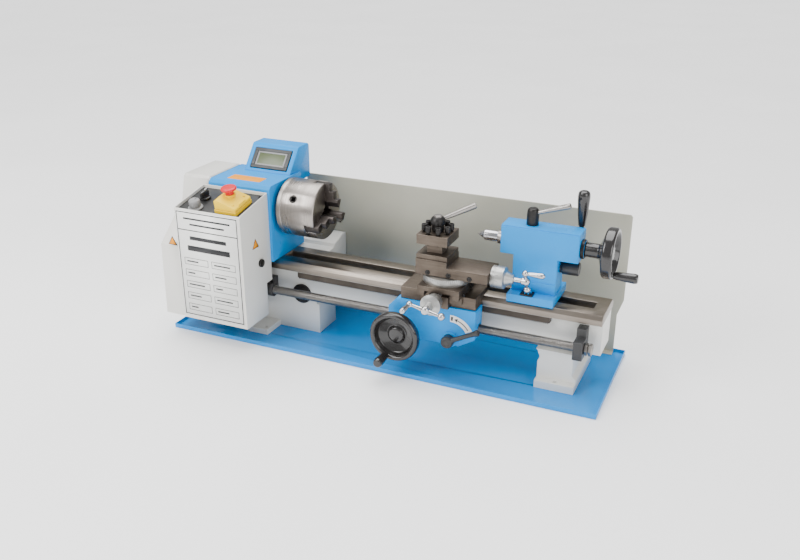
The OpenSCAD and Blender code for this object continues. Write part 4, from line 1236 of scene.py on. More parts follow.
@dataclass
class ControlBox:
    """The box of the controls with its label, knobs and stop switch."""

    shop: Shop
    box_x: tuple[float, float] = (-341.0, -211.0)
    front: float = -137.0
    rear: float = -50.3
    top: float = 243.0
    rise: float = 17.0
    drop: float = 5.0
    speed_at: tuple[float, float] = (-308.0, -121.0)
    direction_at: tuple[float, float] = (-311.0, -88.0)
    stop_x: tuple[float, float] = (-265.0, -223.0)
    stop_y: tuple[float, float] = (-128.0, -78.0)
    label_x: tuple[float, float] = (-338.0, -217.0)
    label_z: tuple[float, float] = (48.0, 238.0)
    label_pen: tuple[float, float] = (1.6, 0.8)
    label_bars: tuple[tuple[float, float, float, float], ...] = (
        (14, 107, 20, 3.0), (26, 95, 10, 3.0), (24, 97, -16, 6.5), (18, 103, -36, 9.5),
    )
    speed_skirt: Outline = (
        (0, -4), (3, -4), (3, 0.6), (12.6, 0.6), (13, 1.2), (12.4, 2.6), (9.0, 3.4), (9.0, 4.0),
    )
    speed_cap: Outline = ((8.6, 3.2), (8.9, 14.4), (7.9, 16.0), (6.4, 15.6), (0, 15.4))
    ribs: int = 24
    direction_skirt: Outline = (
        (0, -4), (3, -4), (3, 0.6), (9.6, 0.6), (10, 1.2), (9.7, 3.6), (8.6, 4.6), (0, 4.8),
    )
    mushroom: Outline = (
        (0, 13), (7, 13), (7, 28.6), (9, 29.6), (13, 31.6), (13.5, 33.4), (12.4, 35.2), (9, 36), (0, 36),
    )
    button_radius: float = 7.3

    @property
    def slope(self) -> float:
        """The tilt of the panel, in radians."""
        return math.atan(self.rise / (self.rear - self.front))

    def on_panel(self, x: float, y: float) -> Matrix:
        """Where a frame stands on the panel.

        Args:
            x: Its place along X.
            y: Its place along Y.

        Returns:
            The frame's matrix, in millimetres.
        """
        z = self.top + (y - self.front) * math.tan(self.slope) - self.drop
        return Matrix.Translation(Vector((x, y, z))) @ Matrix.Rotation(self.slope, 4, "X")

    def build(self) -> None:
        """Dresses the box and builds its label and controls."""
        self.shop.dress("control_box", Finish.WHITE, 0.8)
        self._panel()
        self._label()
        triangle(self.shop, "box_triangle", (self.box_x[1], -96.0, 181.0), 20.0, Axis.X, "machine")
        self._speed_knob()
        self._direction_knob()
        self._stop_switch()

    def _panel(self) -> None:
        """Builds the black plate of the panel and the yellow frame of the stop switch."""
        bm = bmesh.new()
        frame_at = self.on_panel(0.0, self.front + 2)
        depth = (self.rear - self.front - 4) / math.cos(self.slope)
        block(bm, (self.box_x[0] + 2, 0.0, -2.5), (self.box_x[1] - 2, depth, 0.0), 0.4, frame_at)
        self.shop.piece("panel_plate", bm, Finish.PANEL, "machine", "panel_black", ("control_panel",))
        bm = bmesh.new()
        wide, deep = self.stop_x[1] - self.stop_x[0], self.stop_y[1] - self.stop_y[0]
        at = self.on_panel(self.stop_x[0], self.stop_y[0])
        block(bm, (0, 0, 0), (wide, deep, 4.2), 0.8, at)
        square_rim(bm, (0.0, 0.0, 3.0), (wide, deep, 6.9), (5.0, 5.0), 0.8, at)
        self.shop.piece("stop_switch_frame", bm, Finish.YELLOW, "machine", "yellow_plastic")

    def _label(self) -> None:
        """Builds the front label: a black frame, plain bars and two columns of boxes, with no lettering."""
        bm = bmesh.new()
        x0, x1 = self.label_x
        z0, z1 = self.label_z
        y = self.front

        def line(low: tuple[float, float], high: tuple[float, float]) -> None:
            """One straight black bar between two corners."""
            block(bm, (low[0], y - 0.18, low[1]), (high[0], y + 0.3, high[1]))

        def outline(left: float, right: float, bottom: float, top: float, width: float) -> None:
            """Draws four bars round a box.

            Args:
                left: The box's left side.
                right: Its right side.
                bottom: Its lower side.
                top: Its upper side.
                width: How thick the bars are.
            """
            line((left, bottom), (right, bottom + width))
            line((left, top - width), (right, top))
            line((left, bottom), (left + width, top))
            line((right - width, bottom), (right, top))

        pen, thin = self.label_pen
        outline(x0, x1, z0, z1, pen)
        divider = z1 - 33
        line((x0, divider), (x1, divider + pen))
        for left, right, bottom, tall in self.label_bars:
            line((x0 + left, divider + bottom), (x0 + right, divider + bottom + tall))
        wide, tall = 48.0, 12.5
        for row in range(5):
            for column in range(2):
                left = x0 + 9 + column * (wide + 7)
                bottom = z0 + 9 + row * 21.5
                outline(left, left + wide, bottom, bottom + tall, thin)
                line((left + 5, bottom + 5.2), (left + 5 + 14 + 9 * ((row + column) % 3), bottom + 7.6))
        self.shop.piece("box_label_lines", bm, Finish.INK, "machine", "panel_black")
        bm = bmesh.new()
        block(bm, (x0 - 1.5, y - 0.08, z0 - 1.5), (x1 + 1.5, y + 0.4, z1 + 1.5))
        self.shop.piece("box_label_plate", bm, Finish.PLATE, "machine", "white_paint")

    def _speed_knob(self) -> None:
        """Builds the ribbed speed knob on its skirt."""
        at = self.on_panel(*self.speed_at)
        place, up = at.translation, at.col[2].to_3d()
        bm = bmesh.new()
        turn(bm, fillet(self.speed_skirt, 0.6), place, up, 72)
        turn(bm, fillet(self.speed_cap, 0.8), place, up, 72)
        for i in range(self.ribs):
            rib = at @ Matrix.Rotation(2 * math.pi * i / self.ribs, 4, "Z")
            block(bm, (8.3, -0.55, 3.6), (9.5, 0.55, 14.6), 0.25, rib)
        self.shop.piece("speed_knob_ribbed", bm, Finish.KNOB, "speed_knob", "knob_grey", ("speed_knob",))
        bm = bmesh.new()
        block(bm, (-0.5, 2.0, 15.2), (0.5, 7.6, 15.9), 0.15, at)
        self.shop.piece("speed_knob_mark", bm, Finish.INK, "speed_knob", "panel_black")

    def _direction_knob(self) -> None:
        """Builds the black pointer knob."""
        at = self.on_panel(*self.direction_at)
        bm = bmesh.new()
        turn(bm, fillet(self.direction_skirt, 0.6), at.translation, at.col[2].to_3d(), 48)
        block(bm, (-3.0, -10.0, 3.6), (3.0, 10.0, 16.0), 1.6, at)
        name = "direction_knob"
        self.shop.piece(f"{name}_pointer", bm, Finish.BLACK_PLASTIC, name, "black_plastic", (name,))
        bm = bmesh.new()
        block(bm, (-0.6, 2.0, 15.6), (0.6, 9.4, 16.15), 0.1, at)
        self.shop.piece("direction_knob_line", bm, Finish.PLATE, "direction_knob", "white_paint")

    def _stop_switch(self) -> None:
        """Builds the yellow flip cover and the red mushroom button."""
        at = self.on_panel(self.stop_x[0], self.stop_y[0])
        wide, deep = self.stop_x[1] - self.stop_x[0], self.stop_y[1] - self.stop_y[0]
        bm = bmesh.new()
        self._cover_shell(bm, at, wide, deep)
        for y in (deep * 0.16, deep * 0.84):
            block(bm, (14, y - 1.5, 12), (wide - 7, y + 1.5, 16.4), 0.7, at)
        block(bm, (wide - 7, deep * 0.3, 11), (wide - 1, deep * 0.7, 14.4), 1.0, at)
        block(bm, (-0.2, deep * 0.15, 10), (1.6, deep * 0.75, 19), 0.7, at)
        cover, button = "estop_cover", "estop_button"
        self.shop.piece("stop_cover_moulded", bm, Finish.YELLOW, cover, "yellow_plastic", (cover,))
        up, place = at.col[2].to_3d(), at @ Vector((15.0, deep * 0.6, 0.0))
        inner, outer = self.button_radius + 0.2, self.button_radius + 2.2
        collar = fillet([(inner, 19), (outer, 20), (outer, 23.2), (inner, 23.6)], 0.5)
        self.shop.turned("stop_cover_collar", collar, place, up, 48, Finish.YELLOW, cover, "yellow_plastic")
        dome = fillet(self.mushroom, 0.9)
        self.shop.turned(
            "stop_button_mushroom", dome, place, up, 64, Finish.RED, button, "red_plastic", (button,),
        )

    def _cover_shell(self, bm: Mesh, at: Matrix, wide: float, deep: float) -> None:
        """Adds the flip cover's wedge with softened sides.

        Args:
            bm: The mesh to add to.
            at: Where the switch's own frame lies.
            wide: The switch's width.
            deep: Its depth.
        """
        foot = 7.3
        side = fillet([
            (1, foot), (wide, foot), (wide, 12), (wide - 6, 14.2), (13, 22.6), (5.0, 24.0), (1.0, 22.6),
            (1, foot),
        ], 2.0)[:-1]
        middle = Vector((wide / 2, 15.0))
        near = ((1.0, 0.9), (1.6, 0.3), (2.6, 0.0))
        rows = []
        for y, inset in (*near, *((deep - y, inset) for y, inset in reversed(near))):
            row = []
            for point in side:
                p = Vector(point)
                p += (middle - p).normalized() * inset
                row.append(bm.verts.new((at @ Vector((p.x, y, max(p.y, foot)))) * MM))
            rows.append(row)
        for one, two in zip(rows, rows[1:]):
            join_rows(bm, one, two)
        bm.faces.new(rows[0][::-1])
        bm.faces.new(rows[-1])


@dataclass
class Chuck:
    """The three-jaw chuck with its scroll, key sockets and jaws."""

    shop: Shop
    jaws: int = 3

    def build(self) -> None:
        """Dresses the chuck's parts."""
        self.shop.dress_all((("chuck_body", Finish.CHUCK, 0.5), ("chuck_scroll", Finish.GEAR, 0.0)))
        for i in range(1, self.jaws + 1):
            self.shop.dress_all(
                ((f"chuck_pinion_{i}", Finish.OXIDE, 0.4), (f"chuck_jaw_{i}", Finish.JAW, 0.6)),
            )


@dataclass
class Crank:
    """A two-ball crank with a graduated dial, on its screw."""

    shop: Shop
    name: str
    body: str
    node: str
    place: Point
    axis: Axis
    hub: float
    reach: float
    turned: float
    screw: tuple[float, float]
    dial: Outline
    marks: int
    thread: tuple[float, float, float] = (1.0, 4.0, 3.4)
    grip: Outline = (
        (0, 0), (2.8, 0), (2.6, 5), (3.3, 9), (4.3, 18), (4.8, 25), (4.4, 28.5), (2.6, 30.4), (0, 30.8),
    )
    balls: tuple[float, float] = (5.2, 6.0)

    def build(self) -> None:
        """Builds the screw, the dial with its marks and the crank."""
        line = Vector(self.axis.value)
        swing = self._swing() * self.reach
        low, high = self.screw
        pitch, crest, root = self.thread
        front = self.hub
        bm = bmesh.new()
        screw_thread(bm, self.place, self.axis, self.screw, pitch, crest, root)
        turn(bm, [(0, low), (root, low), (root, low + 1)], self.place, self.axis, 36)
        stem = [
            (root, high - 1), (crest, high - 1), (crest, front - 8), (6, front - 7), (6.6, front - 3),
            (7.2, front),
            (6.4, front + 3.6), (4.5, front + 5.6), (0, front + 6.5),
        ]
        turn(bm, fillet(stem, 0.8), self.place, self.axis, 48)
        hub = Vector(self.place) + line * front
        tips = [hub - swing, hub + swing]
        last = 8
        arm = [(i / last, 2.6 + 0.9 * math.exp(-((abs(i - last / 2) - 1) ** 2))) for i in range(last + 1)]
        rod(bm, tips[0], tips[1], arm, 24)
        for tip, radius in zip(tips, self.balls):
            self._ball(bm, tip, radius)
        turn(bm, fillet(self.grip, 1.2), tips[0], line, 40)
        name = self.name
        self.shop.piece(f"{name}_crank_bright", bm, Finish.CHROME, self.body, "bright_chrome", (self.node,))
        dial = fillet(self.dial, 0.5)
        self.shop.turned(
            f"{name}_dial", dial, self.place, self.axis, 80, Finish.DIAL, self.body, "bright_chrome",
        )
        self._marks()

    def _swing(self) -> Vector:
        """The direction from the hub to the far ball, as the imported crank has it."""
        a = math.radians(self.turned)
        if self.axis is Axis.X:
            return Vector((0, math.sin(a), -math.cos(a)))
        return Vector((math.cos(a), 0, math.sin(a)))

    def _ball(self, bm: Mesh, middle: Vector, radius: float) -> None:
        """Adds a ball with a small flat at its front.

        Args:
            bm: The mesh to add to.
            middle: Its middle.
            radius: Its radius.
        """
        steps = 14
        turns = [math.pi * i / steps for i in range(1, steps)]
        arc = [(0.0, -radius), *((radius * math.sin(a), -radius * math.cos(a)) for a in turns)]
        arc += [(radius * 0.2, radius * 0.96), (0.0, radius * 0.94)]
        turn(bm, arc, middle, self.axis, 32)

    def _marks(self) -> None:
        """Cuts the dial's marks as fine dark lines on its rim."""
        line = Vector(self.axis.value)
        u, v = square_to(line)
        start, end = self.dial[1][1], self.dial[2][1]
        r0, r1 = self.dial[1][0], self.dial[2][0]
        bm = bmesh.new()
        for i in range(self.marks):
            a = 2 * math.pi * i / self.marks
            out = u * math.cos(a) + v * math.sin(a)
            side = (v * math.cos(a) - u * math.sin(a)) * 0.18
            length = 0.62 if i % 5 == 0 else 0.36
            corners = []
            for share in (0.06, length):
                along = start + (end - start) * share
                radius = r0 + (r1 - r0) * share
                base = Vector(self.place) + line * along
                for lift in (-0.2, 0.07):
                    corners += [base + out * (radius + lift) - side, base + out * (radius + lift) + side]
            made = [bm.verts.new(c * MM) for c in corners]
            for face in (
                (0, 1, 3, 2), (4, 6, 7, 5), (2, 3, 7, 6), (0, 2, 6, 4), (1, 5, 7, 3), (0, 4, 5, 1),
            ):
                bm.faces.new([made[k] for k in face])
        self.shop.piece(f"{self.name}_dial_marks", bm, Finish.INK, self.body, "panel_black")


@dataclass
class Handwheel:
    """A dished black wheel with its turning handle."""

    shop: Shop
    name: str
    node: str
    body: str
    handle_node: str
    handle_body: str
    place: Point
    axis: Axis
    outline: Outline
    handle_at: Point
    handle: Outline
    gear: tuple[int, float, float] | None = None
    thread: tuple[float, float] | None = None
    handle_screw: Outline = ((2.9, 1.2), (2.9, 0.15), (2.5, 0.05), (1.2, 0.05), (1.0, 0.6), (0, 0.6))

    def build(self) -> None:
        """Builds the wheel, its gear if it has one, and its handle."""
        bm = bmesh.new()
        turn(bm, fillet(self.outline, 1.6, 5), self.place, self.axis, 96)
        if self.thread:
            screw_thread(bm, self.place, self.axis, self.thread, 1.5, 5.0, 4.2)
        if self.gear:
            teeth, start, width = self.gear
            gear_wheel(
                bm, teeth, 5.9, Vector(self.place) + Vector(self.axis.value) * start, self.axis, width,
            )
        name, black = self.name, "black_plastic"
        self.shop.piece(f"{name}_wheel_dished", bm, Finish.BLACK_PLASTIC, self.body, black, (self.node,))
        self.shop.turned(
            f"{name}_handle_turned", fillet(self.handle, 1.8, 5), self.handle_at, self.axis, 48,
            Finish.BLACK_PLASTIC, self.handle_body, black, (self.handle_node,),
        )
        tip = self.handle[-1][1]
        self.shop.turned(
            f"{name}_handle_screw", [(radius, tip - step) for radius, step in self.handle_screw],
            self.handle_at,
            self.axis, 24, Finish.STEEL, self.handle_body, "ground_steel",
        )


@dataclass
class Carriage:
    """Saddle, apron, slides and tool post."""

    shop: Shop
    swivel: tuple[float, float] = (117.0, -49.0)
    post: tuple[float, float] = (100.5, -49.0)
    wheel: tuple[float, float] = (53.0, 70.0)
    lever: tuple[float, float] = (136.0, 68.0)
    lever_tip: Point = (184.0, -90.0, 92.5)
    post_tip: Point = (148.0, -7.0, 273.0)
    apron_front: float = -76.0
    wheel_rim: float = 42.0
    wheel_hub: Outline = ((0, 64), (6, 64), (6, 84.3), (12, 84.3), (13, 92), (17, 96))
    wheel_dish: Outline = ((16, 102), (12, 107), (7, 108), (0, 108))
    handle: Outline = ((0, 118.3), (5, 118.3), (6.5, 124), (7.5, 138), (8, 148), (6.5, 153), (0, 153))
    handle_off: tuple[float, float] = (-12.2, -32.0)
    cross_dial: Outline = ((4, 99), (13.0, 99), (17, 119), (12, 121), (7, 122), (7, 132), (4, 132.5))
    compound_dial: Outline = ((4, 194.3), (18.0, 194.3), (17.6, 214), (12, 216), (7, 228), (4, 229))
    lever_hub: Outline = (
        (0, 64), (7.5, 64), (7.5, 71.5), (5, 71.6), (5, 82.3), (10, 82.4), (10.4, 93), (9, 96), (6, 96.4),
        (5.4, 95.2), (0, 95.0),
    )
    lever_arm: Outline = (
        (0.0, 5.2), (0.25, 4.4), (0.5, 3.9), (0.75, 3.8), (0.92, 4.4), (1.0, 5.4), (1.04, 5.5), (1.07, 4.4),
        (1.085, 1.6),
    )
    post_hub: Outline = (
        (6.05, 237.1), (9.2, 237.1), (9.5, 238), (9.5, 246), (11.6, 249.4), (11.8, 256), (10.4, 259),
        (8.4, 261),
        (6.05, 262),
    )
    post_arm: Outline = (
        (0.16, 2.8), (0.2, 3.4), (0.35, 3.7), (0.6, 4.3), (0.8, 4.7), (0.96, 4.8), (0.985, 4.5), (1.0, 3.4),
    )
    post_nut: Outline = ((0, 260.4), (7.0, 260.4), (7.6, 261.4), (6.8, 263.6), (0, 264.4))
    post_flutes: int = 8
    compound_gib: Outline = (
        (0, 73.5), (4.4, 73.5), (4.6, 77.6), (2.2, 77.9), (2.2, 79.6), (1.8, 80.0), (0, 80.0),
    )
    cross_gib: Outline = ((0, 150.0), (3.4, 150.0), (3.4, 156.2), (1.9, 156.4), (1.9, 158.0), (0, 158.2))

    def build(self) -> None:
        """Dresses the carriage's parts and builds its wheels, cranks and levers."""
        shop = self.shop
        shop.dress_all((
            ("carriage_saddle", Finish.IRON, 0.8),
            ("apron", Finish.BLUE, 1.0),
            ("apron_gear", Finish.GEAR, 0.0),
            ("half_nut_upper", Finish.BRONZE, 0.4),
            ("half_nut_lower", Finish.BRONZE, 0.4),
            ("cross_slide", Finish.IRON, 0.7),
            ("compound_base", Finish.DIAL, 0.5),
            ("compound_slide", Finish.IRON, 0.7),
            ("toolpost", Finish.IRON, 0.7),
            ("toolpost_bolts", Finish.OXIDE, 0.4),
        ))
        x, z = self.wheel
        rim = self.wheel_rim
        tread = (
            (rim - 11, 100), (rim - 8, 103), (rim - 2, 103), (rim, 106), (rim, 115), (rim - 2.5, 118),
            (rim - 7, 118),
            (rim - 9, 115), (rim - 12, 107),
        )
        Handwheel(
            shop, name="apron", node="apron_handwheel", body="apron_wheel", handle_node="apron_handle",
            handle_body="apron_handle", place=(x, 0.0, z), axis=Axis.FRONT,
            outline=(*self.wheel_hub, *tread, *self.wheel_dish),
            handle_at=(x + self.handle_off[0], 0.0, z + self.handle_off[1]), handle=self.handle,
            gear=(18, 64.0, 7.0),
        ).build()
        Crank(
            shop, name="cross", body="cross_crank", node="cross_crank", place=(self.swivel[0], 0.0, 140.0),
            axis=Axis.FRONT, hub=138.0, reach=27.0, turned=-12.0, screw=(-30.0, 88.0),
            dial=self.cross_dial, marks=50,
        ).build()
        Crank(
            shop, name="compound", body="compound_crank", node="compound_crank",
            place=(0.0, self.swivel[1], 176.0),
            axis=Axis.X, hub=248.0, reach=18.0, turned=25.0, screw=(88.5, 186.0), dial=self.compound_dial,
            marks=60,
        ).build()
        self._swivel_marks()
        self._half_nut_lever()
        self._decal()
        self._post_lever()
        self._gib_screws()

    def _swivel_marks(self) -> None:
        """Engraves degree marks round the swivel ring."""
        bm = bmesh.new()
        centre = Matrix.Translation(Vector((*self.swivel, 0)))
        radius, top = 38.0, 169.4
        for i in range(-12, 13):
            tall = 5.0 if i % 6 == 0 else 3.0
            at = centre @ Matrix.Rotation(math.radians(-90 + i * 5), 4, "Z")
            block(bm, (radius - 0.4, -0.2, top - tall), (radius + 0.08, 0.2, top), 0.0, at)
        self.shop.piece("swivel_marks", bm, Finish.INK, "compound_base", "panel_black")

    def _half_nut_lever(self) -> None:
        """Builds the black lever that closes the half nuts."""
        x, z = self.lever
        bm = bmesh.new()
        turn(bm, fillet(self.lever_hub, 0.9), (x, 0.0, z), Axis.FRONT, 56)
        rod(bm, (x, self.lever_tip[1], z), self.lever_tip, self.lever_arm, 28)
        name = "half_nut_lever"
        self.shop.piece(f"{name}_cast", bm, Finish.BLACK_IRON, name, "black_iron", (name,))

    def _decal(self) -> None:
        """Adds the white plate above the lever with its black curved arrow."""
        x, z = self.lever
        y = self.apron_front

        def arc(radius: float, start: float, end: float, steps: int) -> Outline:
            """Points of an arc round the lever's axle."""
            turns = [math.radians(start + (end - start) * i / steps) for i in range(steps + 1)]
            return [(x + radius * math.cos(a), z + radius * math.sin(a)) for a in turns]

        arrow = arc(35.8, 33.0, 72.0, 12)
        head = ((38.6, 71.0), (35.0, 80.0), (31.4, 71.0))
        arrow += [arc(radius, angle, angle, 1)[0] for radius, angle in head]
        arrow += arc(34.2, 72.0, 33.0, 12)
        for name, outline, lift, sink, finish, slot in (
            (
                "lever_plate", arc(41.0, 28.0, 92.0, 16) + arc(29.0, 92.0, 28.0, 16), 0.35, 0.3,
                Finish.PLATE, "white_paint",
            ),
            ("lever_arrow", arrow, 0.55, 0.0, Finish.INK, "panel_black"),
            (
                "lever_square", arc(38.5, 84.0, 89.5, 2) + arc(31.5, 89.5, 84.0, 2), 0.5, 0.0, Finish.INK,
                "panel_black",
            ),
        ):
            self.shop.piece(name, bar_of(outline, y - lift, y + sink, Axis.BACK), finish, "carriage", slot)

    def _post_lever(self) -> None:
        """Builds the tool post's clamp: a fluted dark hub and a ground steel lever."""
        x, y = self.post
        foot, body = (x, y, 0.0), "toolpost_lever"
        bm = bmesh.new()
        turn(bm, fillet(self.post_hub, 0.8), foot, Axis.Z, 56)
        for i in range(self.post_flutes):
            at = Matrix.Translation(Vector(foot)) @ Matrix.Rotation(
                2 * math.pi * i / self.post_flutes, 4, "Z",
            )
            block(bm, (9.2, -1.6, 239.4), (10.3, 1.6, 247.6), 0.4, at)
        self.shop.piece("post_clamp_hub", bm, Finish.OXIDE, body, "black_oxide", (body,))
        bm = bmesh.new()
        rod(bm, (x, y, 254.0), self.post_tip, self.post_arm)
        self.shop.piece("post_clamp_lever", bm, Finish.STEEL, body, "ground_steel")
        nut = fillet(self.post_nut, 0.6)
        self.shop.turned("post_nut", nut, foot, Axis.Z, 6, Finish.STEEL, body, "ground_steel")

    def _gib_screws(self) -> None:
        """Adds slotted gib screws with lock nuts along the slides."""
        rows = (
            (
                "compound", "compound_slide", self.compound_gib, Axis.FRONT,
                [(x, 0.0, 176.0) for x in (95.0, 130.0, 165.0)],
            ),
            (
                "cross", "cross_slide", self.cross_gib, Axis.X,
                [(0.0, y, 147.0) for y in (-75.0, -35.0, 5.0)],
            ),
        )
        for name, body, outline, axis, places in rows:
            bm = bmesh.new()
            for place in places:
                turn(bm, fillet(outline, 0.3), place, axis, 6)
            self.shop.piece(f"{name}_gib_screws", bm, Finish.OXIDE, body, "black_oxide")


@dataclass
class Tailstock:
    """Tailstock body, quill, handwheel and its two locks."""

    shop: Shop
    wheel_x: float = 372.0
    wheel_rim: float = 40.0
    screw_reach: tuple[float, float] = (238.0, 300.0)
    handle_off: tuple[float, float] = (-16.0, -29.0)
    cap: Outline = (
        (6.5, 318.8), (15.2, 318.8), (15.4, 319.6), (15.4, 323.6), (14.2, 325.1), (6.5, 325.1),
        (6.5, 318.8),
    )
    lock_at: Point = (239.0, 0.0, 0.0)
    lock_hub: Outline = (
        (0, 235.4), (5, 235.4), (5, 252.3), (9.2, 252.3), (9.5, 253), (9.5, 268), (8.8, 276), (7, 279),
        (0, 279),
    )
    lock_ends: tuple[Point, Point] = ((239.0, 0.0, 270.0), (297.0, 0.0, 290.0))
    lock_arm: Outline = (
        (0.12, 2.8), (0.17, 3.3), (0.3, 3.5), (0.6, 4.0), (0.85, 4.4), (0.97, 4.5), (0.99, 4.2), (1.0, 3.2),
    )
    clamp_at: Point = (0.0, 8.0, 186.0)
    clamp_hub: Outline = ((0, 256), (9, 256), (9, 290.3), (11, 290.4), (11, 315), (9.6, 317), (0, 317))
    clamp_x: float = 309.0
    clamp_rod: tuple[Point, ...] = (
        (8.0, 186.0, 5.0), (16.0, 192.4, 4.4), (24.0, 198.6, 4.2), (29.6, 203.6, 4.1), (31.7, 208.6, 4.0),
        (32.0, 215.0, 4.0), (32.0, 240.0, 4.0), (32.0, 268.0, 4.0),
    )
    clamp_grip: Outline = (
        (3.9, 0), (5.4, 0), (5.8, 3), (7.4, 16), (9.4, 40), (9.8, 49), (8.4, 54.5), (5, 56.6), (0, 57),
    )
    grip_from: float = 250.0
    nut_at: Point = (246.0, -31.0, 0.0)
    nut: Outline = ((0, 149.4), (6.0, 149.4), (6.8, 150.0), (6.8, 151.9), (5.6, 152.4), (0, 152.4))
    stud: Outline = ((3.2, 152.2), (3.2, 152.7), (2.8, 153.0), (0, 153.0))

    def build(self) -> None:
        """Dresses the tailstock's parts and builds its wheel and levers."""
        self.shop.dress_all((
            ("tailstock_base", Finish.BLUE, 0.9),
            ("tailstock_body", Finish.BLUE, 1.6),
            ("quill", Finish.STEEL, 0.4),
            ("dead_centre", Finish.CHROME, 0.0),
        ))
        self._wheel()
        self._barrel_cap()
        self._quill_lock()
        self._clamp_lever()
        self._clamp_block()

    def _wheel(self) -> None:
        """Builds the handwheel on its screw, with its handle."""
        x, rim = self.wheel_x, self.wheel_rim
        start, end = self.screw_reach
        stem = (
            (0, start), (4.2, start), (4.2, end), (5, end), (5, 325.3), (11.5, 325.3), (11.5, x - 26),
            (15, x - 24),
        )
        tread = (
            (rim - 9, x - 18), (rim - 6, x - 17), (rim - 2, x - 17), (rim, x - 14), (rim, x - 3),
            (rim - 2, x),
            (rim - 6, x), (rim - 8, x - 3), (rim - 11, x - 9),
        )
        dish = ((15, x - 12), (10, x - 4), (0, x - 4))
        handle = ((0, x + 0.3), (5, x + 0.3), (6.5, x + 8), (8, x + 34), (6.5, x + 38), (0, x + 38))
        Handwheel(
            self.shop, name="tailstock", node="tailstock_handwheel", body="tail_wheel",
            handle_node="tailstock_handle",
            handle_body="tail_handle", place=(0.0, 0.0, AXIS_Z), axis=Axis.X,
            outline=(*stem, *tread, *dish),
            handle_at=(0.0, self.handle_off[0], AXIS_Z + self.handle_off[1]), handle=handle,
            thread=self.screw_reach,
        ).build()

    def _barrel_cap(self) -> None:
        """Covers the end of the barrel with its black bearing cap."""
        place = (0.0, 0.0, AXIS_Z)
        cap = fillet(self.cap, 0.6)
        self.shop.turned("barrel_cap", cap, place, Axis.X, 56, Finish.OXIDE, "tailstock", "black_oxide")

    def _quill_lock(self) -> None:
        """Builds the quill's lock: a dark hub and a steel lever."""
        name = "quill_lock"
        hub = fillet(self.lock_hub, 1.4)
        self.shop.turned(
            f"{name}_hub", hub, self.lock_at, Axis.Z, 56, Finish.OXIDE, name, "black_oxide", (name,),
        )
        bm = bmesh.new()
        rod(bm, *self.lock_ends, self.lock_arm)
        self.shop.piece(f"{name}_lever", bm, Finish.STEEL, name, "ground_steel")

    def _clamp_lever(self) -> None:
        """Builds the tall clamp lever with its moulded grip."""
        name, black = "clamp_lever", "black_plastic"
        bm = bmesh.new()
        turn(bm, fillet(self.clamp_hub, 1.0), self.clamp_at, Axis.X, 56)
        path = [(self.clamp_x, y, z) for y, z, _ in self.clamp_rod]
        tube(bm, path, [radius for _, _, radius in self.clamp_rod], 28)
        self.shop.piece(f"{name}_rod", bm, Finish.BLACK_IRON, name, black, (name,))
        grip, place = fillet(self.clamp_grip, 2.4, 5), (self.clamp_x, self.clamp_rod[-1][0], self.grip_from)
        self.shop.turned(f"{name}_grip", grip, place, Axis.Z, 48, Finish.BLACK_PLASTIC, name, black)

    def _clamp_block(self) -> None:
        """Adds the dark clamp block and its nut over the base's front."""
        bm = bmesh.new()
        block(bm, (235.8, -40.2, 146.8), (256.2, -23.8, 149.7), 0.6)
        turn(bm, fillet(self.nut, 0.4), self.nut_at, Axis.Z, 6)
        turn(bm, fillet(self.stud, 0.3), self.nut_at, Axis.Z, 24)
        self.shop.piece("base_clamp_block", bm, Finish.OXIDE, "tailstock", "black_oxide")


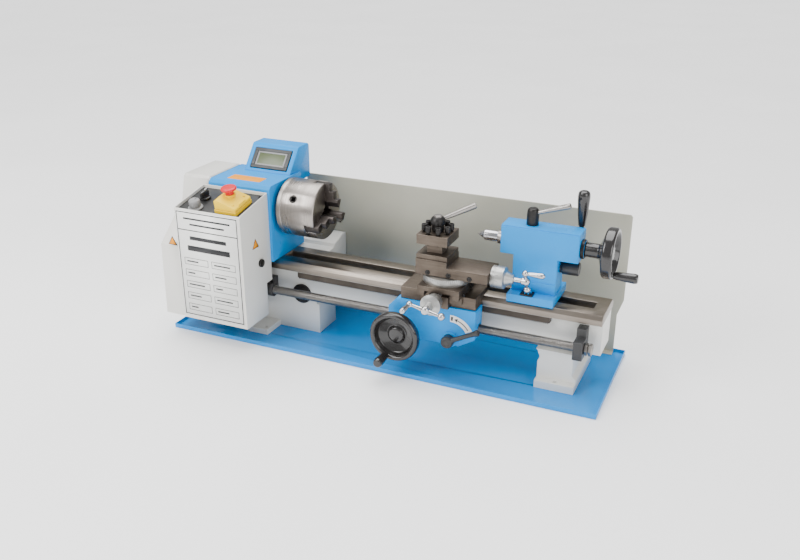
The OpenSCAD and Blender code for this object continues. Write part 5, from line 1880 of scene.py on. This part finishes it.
@dataclass
class Studio:
    """Pale floor, soft lights and the camera."""

    eye: Point = (576.47, -1261.64, 711.94)
    azimuth: float = 24.055
    elevation: float = 23.247
    lens: float = 39.53
    lights: tuple = (
        ("key", (-1300.0, -1500.0, 1700.0), 1.5, 64.0),
        ("fill", (1900.0, -1100.0, 1000.0), 1.3, 24.0),
    )
    sun_tilt: tuple[float, float] = (-14.0, -10.0)
    sun_power: float = 4.4
    sun_spread: float = 55.0

    def build(self) -> None:
        """Makes the floor, the lights, the sky and the camera."""
        self._floor()
        for name, place, size, power in self.lights:
            self._light(name, place, size, power)
        self._sun()
        self._sky()
        self._camera()

    def _floor(self) -> None:
        """Lays a wide pale floor under the tray."""
        bm = bmesh.new()
        side = 30000.0
        corners = [(-side, -side), (side, -side), (side, side), (-side, side)]
        bm.faces.new([bm.verts.new(Vector((x, y, -0.2)) * MM) for x, y in corners])
        mesh = bpy.data.meshes.new("floor")
        bm.to_mesh(mesh)
        bm.free()
        material, g, main = blank_material("floor_pale")
        cloud = g.ramp(g.noise(g.place(), 2.0, 3.0), 0.3, 0.7, 0.0, 1.0)
        g.tree.links.new(g.mix(cloud, (0.93, 0.93, 0.93), (0.9, 0.9, 0.9)), main.inputs["Base Color"])
        main.inputs["Roughness"].default_value = 0.8
        mesh.materials.append(material)
        made = bpy.data.objects.new("floor", mesh)
        bpy.context.scene.collection.objects.link(made)

    def _light(self, name: str, place: Point, size: float, power: float) -> None:
        """Hangs one soft square light that looks at the lathe.

        Args:
            name: The light's name.
            place: Where it hangs, in millimetres.
            size: Its side, in metres.
            power: Its power, in watts.
        """
        data = bpy.data.lights.new(name, "AREA")
        data.size = size
        data.energy = power
        made = bpy.data.objects.new(name, data)
        bpy.context.scene.collection.objects.link(made)
        made.location = Vector(place) * MM
        made.rotation_mode = "QUATERNION"
        made.rotation_quaternion = (Vector((0, 0, 0.12)) - made.location).to_track_quat("-Z", "Y")

    def _sun(self) -> None:
        """Hangs a wide soft ceiling light over the whole floor."""
        data = bpy.data.lights.new("ceiling", "SUN")
        data.energy = self.sun_power
        data.angle = math.radians(self.sun_spread)
        made = bpy.data.objects.new("ceiling", data)
        bpy.context.scene.collection.objects.link(made)
        made.rotation_euler = (math.radians(self.sun_tilt[0]), math.radians(self.sun_tilt[1]), 0.0)

    def _sky(self) -> None:
        """Fills the room with even white light."""
        world = bpy.data.worlds.new("studio_sky")
        bpy.context.scene.world = world
        world.use_nodes = True
        back = world.node_tree.nodes["Background"]
        back.inputs["Color"].default_value = (1.0, 1.0, 1.0, 1.0)
        back.inputs["Strength"].default_value = 0.6

    def _camera(self) -> None:
        """Stands the camera to the front right, above the lathe."""
        data = bpy.data.cameras.new("camera")
        data.sensor_width = 36.0
        data.lens = self.lens
        data.clip_start, data.clip_end = 0.05, 100.0
        made = bpy.data.objects.new("camera", data)
        bpy.context.scene.collection.objects.link(made)
        a, e = math.radians(self.azimuth), math.radians(self.elevation)
        back = Vector((math.sin(a) * math.cos(e), -math.cos(a) * math.cos(e), math.sin(e)))
        made.location = Vector(self.eye) * MM
        made.rotation_mode = "QUATERNION"
        made.rotation_quaternion = (-back).to_track_quat("-Z", "Y")
        bpy.context.scene.camera = made


def write_sizes() -> None:
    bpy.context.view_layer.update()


def main() -> None:
    """Builds the sub-assemblies in order and reports on them."""
    logging.basicConfig(level=logging.INFO, format="%(name)s: %(message)s")
    shop = Shop(frame["nodes"])
    Studio().build()
    for part in (
        Base(shop), Headstock(shop), ControlBox(shop), Chuck(shop), Carriage(shop), Tailstock(shop),
    ):
        part.build()
        LOG.info("%s done", type(part).__name__)
    LOG.info("%d new pieces", shop.count)
    write_sizes()


if __name__ == "__main__":
    main()
